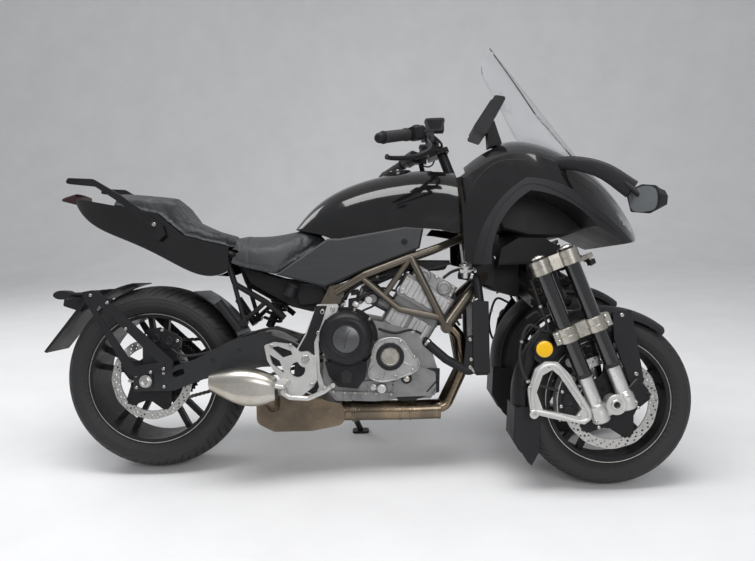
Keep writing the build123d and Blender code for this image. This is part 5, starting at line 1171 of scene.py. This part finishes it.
# Side panels: one fastener each
panels = surface_of(nodes["side_panels"])
for side, hand in HANDS:
    stud = Shape()
    place, normal = touch(panels, (884, hand * 400, 764), (0, -hand, 0))
    seat = place - normal * 1.0
    stud.hoop(seat, normal, [(0, 7.2), (0, 10.4), (2.6, 10.4), (3.2, 9.4), (3.2, 7.2)], 32)
    stud.turned(seat, normal, [(0, 7.0), (2.2, 7.0), (2.6, 6.4), (2.6, 3.2), (1.0, 3.0), (1.0, 0)], 24)
    stud.fixed(f"side_panel_fastener_{side}", PLASTIC, "black_plastic")

# Cowl: seam strips, and the lamp reflectors seen under its edge
cowl = surface_of(nodes["front_cowl"])


def strip_on(tree, points, way, width, rise):
    """The rings of a thin band laid along a surface through points seen from the side."""
    way = Vector(way)
    found = []
    for p in smooth_path([(x, 0, z) for x, z in points], 8):
        place, normal, _, _ = tree.ray_cast(p - way * 600, way)
        if place is not None and (not found or (place - found[-1][0]).length < 60):
            found.append((place, normal if normal.dot(way) < 0 else -normal))
    places = [place for place, _ in found]
    rings = []
    for i, (place, normal) in enumerate(found):
        across = normal.cross(course(places, i)).normalized()
        half = width * 0.5 * min(1.0, 0.25 + 3.0 * min(i, len(found) - 1 - i) / len(found))
        rings.append([place - across * half - normal * 1.2, place - across * half * 0.8 + normal * rise,
                      place + across * half * 0.8 + normal * rise, place + across * half - normal * 1.2])
    return rings


trim = surface_of(nodes["arch_trim"])
for side, hand in HANDS:
    seam = Shape()
    for tree, points, width, rise in (
        (trim, [(1122, 700), (1166, 826), (1216, 892), (1282, 934), (1372, 908), (1480, 834), (1560, 772)], 5.0, 1.2),
        (cowl, [(1064, 760), (1076, 860), (1118, 950), (1190, 1010), (1290, 1012), (1400, 968), (1500, 900)], 2.4, 0.5),
        (cowl, [(1330, 1034), (1420, 1004), (1520, 944), (1600, 872)], 2.4, 0.6),
    ):
        seam.loops(strip_on(tree, points, (0, -hand, 0), width, rise))
    seam.fixed(f"cowl_seam_lines_{side}", PLASTIC, "black_plastic")

lamps = surface_of(nodes["headlamps"])
for side, hand in HANDS:
    bowls = Shape()
    holders = Shape()
    for x, z in ((1520, 806), (1566, 812), (1608, 812)):
        place, normal = touch(lamps, (x, hand * 500, z), (0, -hand, 0))
        front = place - normal * 10.0
        bowls.turned(front - normal * 16.0, normal, [(0, 8), (4, 12), (10, 16), (15, 18.4), (15.4, 18.6), (14.6, 17.4),
                                                     (9, 14.6), (4, 10), (3, 0)], 32)
        holders.hoop(front - normal * 4.0, normal, [(-6, 19), (-6, 22), (5, 22), (5, 19)], 32)
    bowls.fixed(f"lamp_reflectors_{side}", BRIGHT, "disc_steel")
    holders.fixed(f"lamp_surrounds_{side}", PLASTIC, "black_plastic")

# Instrument: hooded glass face with a raised rim
low_edge, high_edge = Vector((1130, 0, 1146)), Vector((1210, 0, 1262))
rise_way = (high_edge - low_edge).normalized()
out_way = Vector((rise_way.z, 0, -rise_way.x)) * -1


def on_face(a, b):
    """A point across and up the instrument's face."""
    return low_edge + rise_way * b + Vector((0, a, 0)) + out_way * 0.2


outer = [(-76, 18), (76, 18), (80, 24), (80, 118), (74, 126), (-74, 126), (-80, 118), (-80, 24)]
inner = [(-70, 26), (70, 26), (73, 30), (73, 112), (68, 118), (-68, 118), (-73, 112), (-73, 30)]
Shape().plate([outer, inner], on_face, out_way * 3.2).fixed("instrument_rim", PLASTIC, "black_plastic")
Shape().plate([inner], on_face, out_way * 1.2).fixed("instrument_glass", SCREEN_GLASS, "lamp_glass")

# Mirror glasses in their shells, facing back
middle = Vector((14, 2, 0))
corners = [(-82, 36), (-60, -30), (30, -44), (72, -34), (80, 6), (60, 34), (0, 46)]
corners = [middle + (Vector((x, y, 0)) - middle) * 0.86 for x, y in corners]
mirror_edge = smooth_path(corners + corners[:1], 5)[:-1]
for side, hand in HANDS:
    centre = Vector((1592, hand * 366, 856))
    facing = Vector((-0.976, hand * 0.218, 0)).normalized()
    across = Vector((0.218, hand * 0.976, 0))
    glass = Shape()
    glass.plate([[(p.x, p.y) for p in mirror_edge]], lambda a, b: centre + across * a + UP * b + facing * 4.6,
                facing * 1.6)
    glass.fixed(f"mirror_glass_{side}", MIRROR, "disc_steel")

# Mirror arms: tapered blades from the cowl to the shells, round the stalks
for side, hand in HANDS:
    rings = []
    path = smooth_path([(x, hand * y, z) for x, y, z in (
        (1285, 158, 1020), (1330, 166, 1018), (1378, 180, 1006), (1440, 235, 992), (1508, 280, 958),
        (1572, 330, 892))], 6)
    for i, point in enumerate(path):
        t = i / (len(path) - 1)
        way = course(path, i)
        flat = way.cross(UP).normalized()
        tall = flat.cross(way).normalized()
        rings.append(oval(point, tall, flat, 14.0 + 15.0 * t, 9.5 - 1.5 * t, 16))
    Shape().loops(rings).fixed(f"mirror_arm_{side}", PLASTIC, "black_plastic")
    shroud = Shape()
    shroud.slab([(1103, 636), (1098, 812), (1160, 814), (1203, 690), (1192, 602)], *sorted((hand * 56.3, hand * 58.6)))
    shroud.slab([(1160, 812), (1184, 691), (1283, 685), (1283, 565), (1181, 595), (1100, 634)],
                *sorted((hand * 34.3, hand * 36.6)))
    shroud.fixed(f"head_shroud_{side}", PLASTIC, "black_plastic", bevel=0.6)

# Under the seat: inner tray with its side boxes, shock spring and reservoir
tray = Shape()
tray.slab([(318, 700), (452, 656), (560, 640), (640, 600), (636, 552), (560, 536), (486, 556), (420, 596), (346, 640)],
          -66, 66)
for low, high in ((-96, -66), (66, 96)):
    tray.slab([(500, 640), (604, 622), (612, 566), (520, 560)], low, high)
tray.fixed("under_seat_tray", PLASTIC, "black_plastic", bevel=3.0)
spring = Shape()
foot, head = Vector((404, 0, 500)), Vector((470, 0, 640))
spring_way = (head - foot).normalized()
u, v = basis(spring_way)
COIL_STEPS, COILS = 20, 7
coil = [foot.lerp(head, k / (COILS * COIL_STEPS)) + spoke(u, v, 2 * math.pi * k / COIL_STEPS) * 30.0
        for k in range(COILS * COIL_STEPS + 1)]
spring.tube(coil, 5.6, 1, 8)
spring.rod(foot - spring_way * 20, head + spring_way * 10, 15, steps=20)
spring.fixed("shock_spring", SATIN_BLACK, "black_paint")
reservoir = Shape()
reservoir.turned((489, -140, 592), Vector((0.42, 0, 0.9)).normalized(), [
    (0, 18), (2, 21), (36, 21), (38, 19.5), (38, 23), (46, 23), (48, 21), (48, 0)], 28)
reservoir.rod((498, -138, 606), (512, -96, 600), 5.0, steps=10)
reservoir.fixed("rear_reservoir", PLASTIC, "black_plastic")

# Dark inner shell that closes the view through the wheel arches
inner = Shape()
inner.slab([(1190, 862), (1232, 920), (1300, 944), (1380, 930), (1462, 884), (1512, 828), (1500, 792), (1420, 768),
            (1310, 772), (1222, 800)], -92, 92)
inner.fixed("nose_inner_shell", PLASTIC, "black_plastic", bevel=10.0)

# Handlebar: ribbed grips, end weights, switch housings, levers, reservoirs and their fixed lines

for side, hand in HANDS:

    def at(x, y, z):
        """A point drawn for the right-hand side, on this side."""
        return Vector((x, -hand * y, z))

    root, tip = at(926, -222, 1108), at(821, -360, 1067)
    along = (tip - root).normalized()
    sleeve = [(0.0, 16.4), (0.0, 20.5), (3.0, 21.0), (6.0, 20.0), (7.0, 17.6)]
    for k in range(14):
        base = 10.0 + k * 7.6
        sleeve += [(base, 17.3), (base + 1.6, 18.3), (base + 5.2, 18.3), (base + 6.6, 17.3)]
    sleeve += [(118.0, 17.3), (120.0, 19.6), (124.0, 19.6), (126.0, 17.0), (126.0, 16.4)]
    Shape().hoop(tip - along * 128.0, along, sleeve, 28).barred(f"grip_sleeve_{side}", SOFT_RUBBER, "black_plastic")
    weight = Shape()
    weight.turned(tip + along * 1.0, along, [(0, 16.4), (3, 17.2), (17, 15.0), (21, 12.6), (22.4, 9.0), (22.4, 5.0),
                                             (18, 4.8), (18, 0)], 28)
    weight.barred(f"bar_end_{side}", SATIN_BLACK, "black_paint")
    housing = Shape()
    across, lift = basis(along)
    if lift.z < 0:
        lift = -lift
    for start, stop, wide, tall in ((-34, 2, 25.0, 24.0), (4, 12, 21.5, 21.5)):
        housing.loops([oval(root + along * (s + 2), across, lift, wide * grow, tall * grow, 20, 0.6)
                       for s, grow in ((start, 0.88), (start + 3, 1.0), (stop - 3, 1.0), (stop, 0.88))])
    housing.barred(f"switch_housing_{side}", PLASTIC, "black_plastic")
    buttons = Shape()
    for s, raise_by, r in ((-26, 24, 5.4), (-13, 24, 6.4), (-1, 22.5, 4.4)):
        spot = root + along * (s + 2) + lift * raise_by
        buttons.turned(spot - lift * 1.5, lift, [(0, r), (3.4, r), (4.4, r - 1.2), (4.4, 0)], 18)
    buttons.rod(root + along * -20 + across * -25, root + along * -20 + across * -31, 5.0, steps=14)
    buttons.barred(f"bar_buttons_{side}", SOFT_RUBBER, "black_plastic")
    lever = Shape()
    path = smooth_path([at(966, -214, 1088), at(974, -238, 1054), at(930, -268, 1026), at(884, -306, 1014),
                        at(846, -344, 1008), at(832, -358, 1010)], 6)
    rings = []
    for i, point in enumerate(path):
        way = course(path, i)
        u = way.cross(UP).normalized()
        v = u.cross(way).normalized()
        t = i / (len(path) - 1)
        w, h = 7.6 - 2.6 * t, 8.8 - 2.0 * t
        if t > 0.93:
            w, h = w + 2.2, h + 1.6
        rings.append(oval(point, u, v, w, h, 12))
    lever.loops(rings)
    lever.turned(at(968, -214, 1076), UP, [(0, 9), (24, 9), (25, 8), (25, 3.6), (22, 3.4), (22, 0)], 20)
    lever.barred(f"bar_lever_{side}", SATIN_BLACK, "black_paint")
    pot = Shape()
    rings = []
    for z, grow in ((1117, 0.80), (1121, 0.94), (1146, 1.0), (1148, 1.06), (1153, 1.06), (1157, 0.98), (1158, 0.6)):
        ring = []
        for a in full_turn(24):
            c, n = math.cos(a), math.sin(a)
            ring.append(at(992 + 31 * grow * math.copysign(abs(c) ** 0.45, c),
                           -196 + 25 * grow * math.copysign(abs(n) ** 0.45, n), z))
        rings.append(ring)
    pot.loops(rings)
    pot.barred(f"fluid_reservoir_{side}", PLASTIC, "black_plastic")
    lid = Shape()
    for x, y in ((972, -184), (1012, -184), (972, -208), (1012, -208)):
        lid.bolt(at(x, y, 1156.6), UP, 3.2, 2.6)
    lid.barred(f"reservoir_screws_{side}", STEEL, "disc_steel")
    lines = Shape()
    lines.tube([at(980, -190, 1112), at(1004, -170, 1096), at(1018, -130, 1092), at(1022, -90, 1090),
                at(1014, -60, 1094)], 4.2, 7, 10)
    lines.tube([at(956, -214, 1092), at(986, -196, 1074), at(1004, -150, 1070), at(1010, -100, 1078),
                at(1006, -66, 1086)], 3.2, 7, 10)
    lines.barred(f"bar_fixed_lines_{side}", HOSE, "black_plastic")
clamp = Shape()
for y in (-42, 42):
    for x in (988, 1012):
        clamp.bolt((x, y, 1118.2), UP, 5.2, 5.0)
clamp.turned((1026, 0, 1090), RISE, [(0, 17), (14, 17), (16, 15), (16, 0)], 6)
clamp.barred("bar_clamp_bolts", STEEL, "disc_steel")

# Dark guard over the rear of each swingarm pivot plate, as the silver shows only along the front edge
for side, hand in HANDS:
    guard = Shape()
    guard.slab([(586, 560), (622, 560), (604, 506), (576, 440), (576, 342), (588, 292), (574, 264), (516, 294),
                (506, 332), (512, 400), (552, 468)], *sorted((hand * 170.3, hand * 173.0)))
    guard.fixed(f"pivot_guard_{side}", SATIN_BLACK, "black_paint", bevel=0.8)

# Rear end: chain links, swingarm fittings, hangers, pegs and plate holder

LINK = 15.875
REAR_TEETH, FRONT_TEETH = 45, 16
REAR_SPROCKET = LINK / (2 * math.sin(math.pi / REAR_TEETH))
FRONT_SPROCKET = LINK / (2 * math.sin(math.pi / FRONT_TEETH))
front_hub = Vector((640, 0, 402))
CHAIN_Y = 112
run = front_hub - REAR_AXLE
spread = math.acos((REAR_SPROCKET - FRONT_SPROCKET) / run.length)
heading = math.atan2(run.z, run.x)


def on_ring(centre, radius, begin, sweep, steps):
    """Points of an arc round a sprocket."""
    angles = [begin + sweep * k / steps for k in range(steps + 1)]
    return [centre + Vector((math.cos(a), 0, math.sin(a))) * radius for a in angles]


loop_line = on_ring(REAR_AXLE, REAR_SPROCKET, heading + spread, 2 * math.pi - 2 * spread, 60)
loop_line += on_ring(front_hub, FRONT_SPROCKET, heading - spread, 2 * spread, 30)
loop_line.append(loop_line[0])
lengths = [0.0]
for a, b in zip(loop_line, loop_line[1:]):
    lengths.append(lengths[-1] + (b - a).length)
link_count = 2 * round(lengths[-1] / LINK / 2)
pins = []
segment = 0
for k in range(link_count):
    target = lengths[-1] * k / link_count
    while lengths[segment + 1] < target:
        segment += 1
    part = (target - lengths[segment]) / (lengths[segment + 1] - lengths[segment])
    pins.append(loop_line[segment].lerp(loop_line[segment + 1], part))


def link_outline(first, second, radius, waist):
    """The waisted side plate of one link."""
    way = (second - first).normalized()
    up = Vector((-way.z, 0, way.x))
    outline = []
    for pin, begin, edge in ((second, -70, up), (first, 110, -up)):
        outline += [pin + spoke(way, up, math.radians(begin + 140 * k / 6)) * radius for k in range(7)]
        outline.append((first + second) / 2 + edge * waist)
    return [(p.x, p.z) for p in outline]


links = Shape()
for k, pin in enumerate(pins):
    offset, radius = (6.9, 6.6) if k % 2 else (4.9, 6.9)
    for middle_y in (CHAIN_Y - offset, CHAIN_Y + offset):
        links.slab(link_outline(pin, pins[(k + 1) % link_count], radius, 4.6), middle_y - 0.9, middle_y + 0.9)
    links.rod(pin + Vector((0, 104.0, 0)), pin + Vector((0, 120.0, 0)), 2.7, steps=10)
    links.rod(pin + Vector((0, 108.2, 0)), pin + Vector((0, 115.8, 0)), 4.9, steps=12)
teeth = []
for k, a in enumerate(full_turn(4 * FRONT_TEETH)):
    radius = FRONT_SPROCKET + (-5.0, -1.5, 1.8, -1.5)[k % 4]
    teeth.append((front_hub.x + radius * math.cos(a), front_hub.z + radius * math.sin(a)))
links.slab(teeth, CHAIN_Y - 3.0, CHAIN_Y + 3.0)
links.turned((640, 104, 402), (0, 1, 0), [(0, 16), (14, 16), (15, 14), (15, 0)], 24)
links.fixed("drive_chain_links", CHAIN, "chain_steel", replaces=("drive_chain",), smooth=30)

# Swingarm: axle nuts, adjusters, bolts, brake line and the rear caliper
fittings = Shape()
for y, way in ((-146.2, -1), (160.2, 1)):
    fittings.turned((0, y, REAR_RADIUS), (0, way, 0), [(0, 19), (3, 19), (3.4, 17.6), (10.5, 17.4), (11.5, 15.8),
                                                       (11.5, 12.4), (4, 12.2), (4, 9.6)], 6)
    fittings.hoop((0, y, REAR_RADIUS), (0, way, 0), [(0, 14), (0, 21.5), (2.2, 21.5), (2.2, 14)], 32)
for y, way in ((-140.3, -1), (154.3, 1)):
    for x, z in ((-34, 340), (-34, 300), (60, 346), (60, 300)):
        fittings.bolt((x, y, z), (0, way, 0), 5.2, 4.2)
    fittings.rod((-45, y + way * -10, REAR_RADIUS), (-66, y + way * -10, REAR_RADIUS), 4.4, steps=10)
    fittings.bolt((-52, y + way * -10, REAR_RADIUS), (-1, 0, 0), 7.4, 6.0, "hex")
for hand in (-1, 1):
    fittings.turned((548, hand * 186.2, 386), (0, hand, 0), [(0, 15.5), (7, 15.5), (8.2, 14.2), (8.2, 8.6), (2, 8.4)],
                    6)
fittings.fixed("swingarm_fittings", STEEL, "disc_steel")
plugs = Shape()
for x, z, r in ((228, 388, 9), (318, 420, 7), (470, 416, 9)):
    plugs.turned((x, -139.8, z), OUT, [(0, r), (1.6, r), (2.4, r - 1), (2.4, r - 3), (1.2, r - 3.4), (1.2, 0)], 20)
plugs.tube([(520, -124, 450), (440, -124, 486), (340, -128, 466), (220, -132, 414), (130, -130, 402), (84, -124, 424)],
           4.4, 7, 10)
plugs.fixed("rear_brake_line", HOSE, "black_plastic")
rear_caliper = Shape()
rear_caliper.slab([(-20, 452), (-6, 492), (44, 500), (104, 474), (112, 440), (98, 420), (30, 426)], -121.0, -112.6)
for x, z in ((30, 462), (76, 452)):
    rear_caliper.turned((x, -121.0, z), OUT, [(0, 16), (5, 16), (6.5, 14.4), (6.5, 9), (5, 8.6), (5, 0)], 24)
rear_caliper.fixed("rear_caliper_face", COVER, "cover_paint", bevel=1.4)
caliper_pins = Shape()
for x, z in ((-4, 472), (104, 452), (52, 490)):
    caliper_pins.bolt((x, -121.0, z), OUT, 5.4, 4.6)
caliper_pins.fixed("rear_caliper_bolts", STEEL, "disc_steel")

# Hangers: bolts, peg treads and pedal pads
hangers = surface_of(nodes["pivot_plates"])
for side, hand in HANDS:
    screws = Shape()
    side_bolts(screws, hangers, hand, 330, 150, (
        (436, 432, 6.5), (499, 432, 6.5), (566, 300, 7.5), (482, 284, 6.5), (606, 540, 8.0),
        (640, 548, 8.0), (590, 470, 6.5), (600, 400, 6.5)), 4.6, 0.3)
    screws.fixed(f"hanger_bolts_{side}", STEEL, "disc_steel")
    tread = Shape()
    for k in range(9):
        y = hand * (192 + k * 10.4)
        tread.rod((462, y, 325 - 0.1 * k), (494, y, 321 - 0.1 * k), 2.6, steps=8)
    tread.rod((464, hand * 292, 319), (492, hand * 292, 314), 6.6, steps=14)
    tread.fixed(f"peg_tread_{side}", SILVER, "cast_alloy")
    pad = Shape()
    for k in range(5):
        y = hand * (206 + k * 6.4)
        pad.hoop((640, y, 306), (0, hand, 0), [(0, 7.6), (0, 9.8), (3.2, 9.8), (3.2, 7.6)], 20)
    pad.fixed(f"pedal_pad_{side}", SOFT_RUBBER, "black_plastic")

# Plate holder: bolts; the plate's place stays bare
holder = surface_of(nodes["plate_holder"])
holder_bolts = Shape()
for hand in (-1, 1):
    side_bolts(holder_bolts, holder, hand, 300, 60, [
        (x, z, 5.4) for x, z in ((64, 362), (20, 352), (-120, 590), (-176, 616), (-60, 500))], 4.2)
for y in (-38, 38):
    place, normal, _, _ = holder.ray_cast(Vector((-330, y, 700)), Vector((0.45, 0, -0.9)).normalized())
    if place is not None:
        holder_bolts.bolt(place, normal, 4.6, 3.2)
holder_bolts.fixed("plate_holder_bolts", STEEL, "disc_steel")

# Tail: bolts of the grab rails
tail = surface_of(nodes["subframe"])
rail_bolts = Shape()
for hand in (-1, 1):
    side_bolts(rail_bolts, tail, hand, 400, 60, ((-60, 905, 7.0), (40, 850, 7.0), (-150, 960, 7.0)), 4.6)
rail_bolts.fixed("grab_rail_bolts", STEEL, "disc_steel")
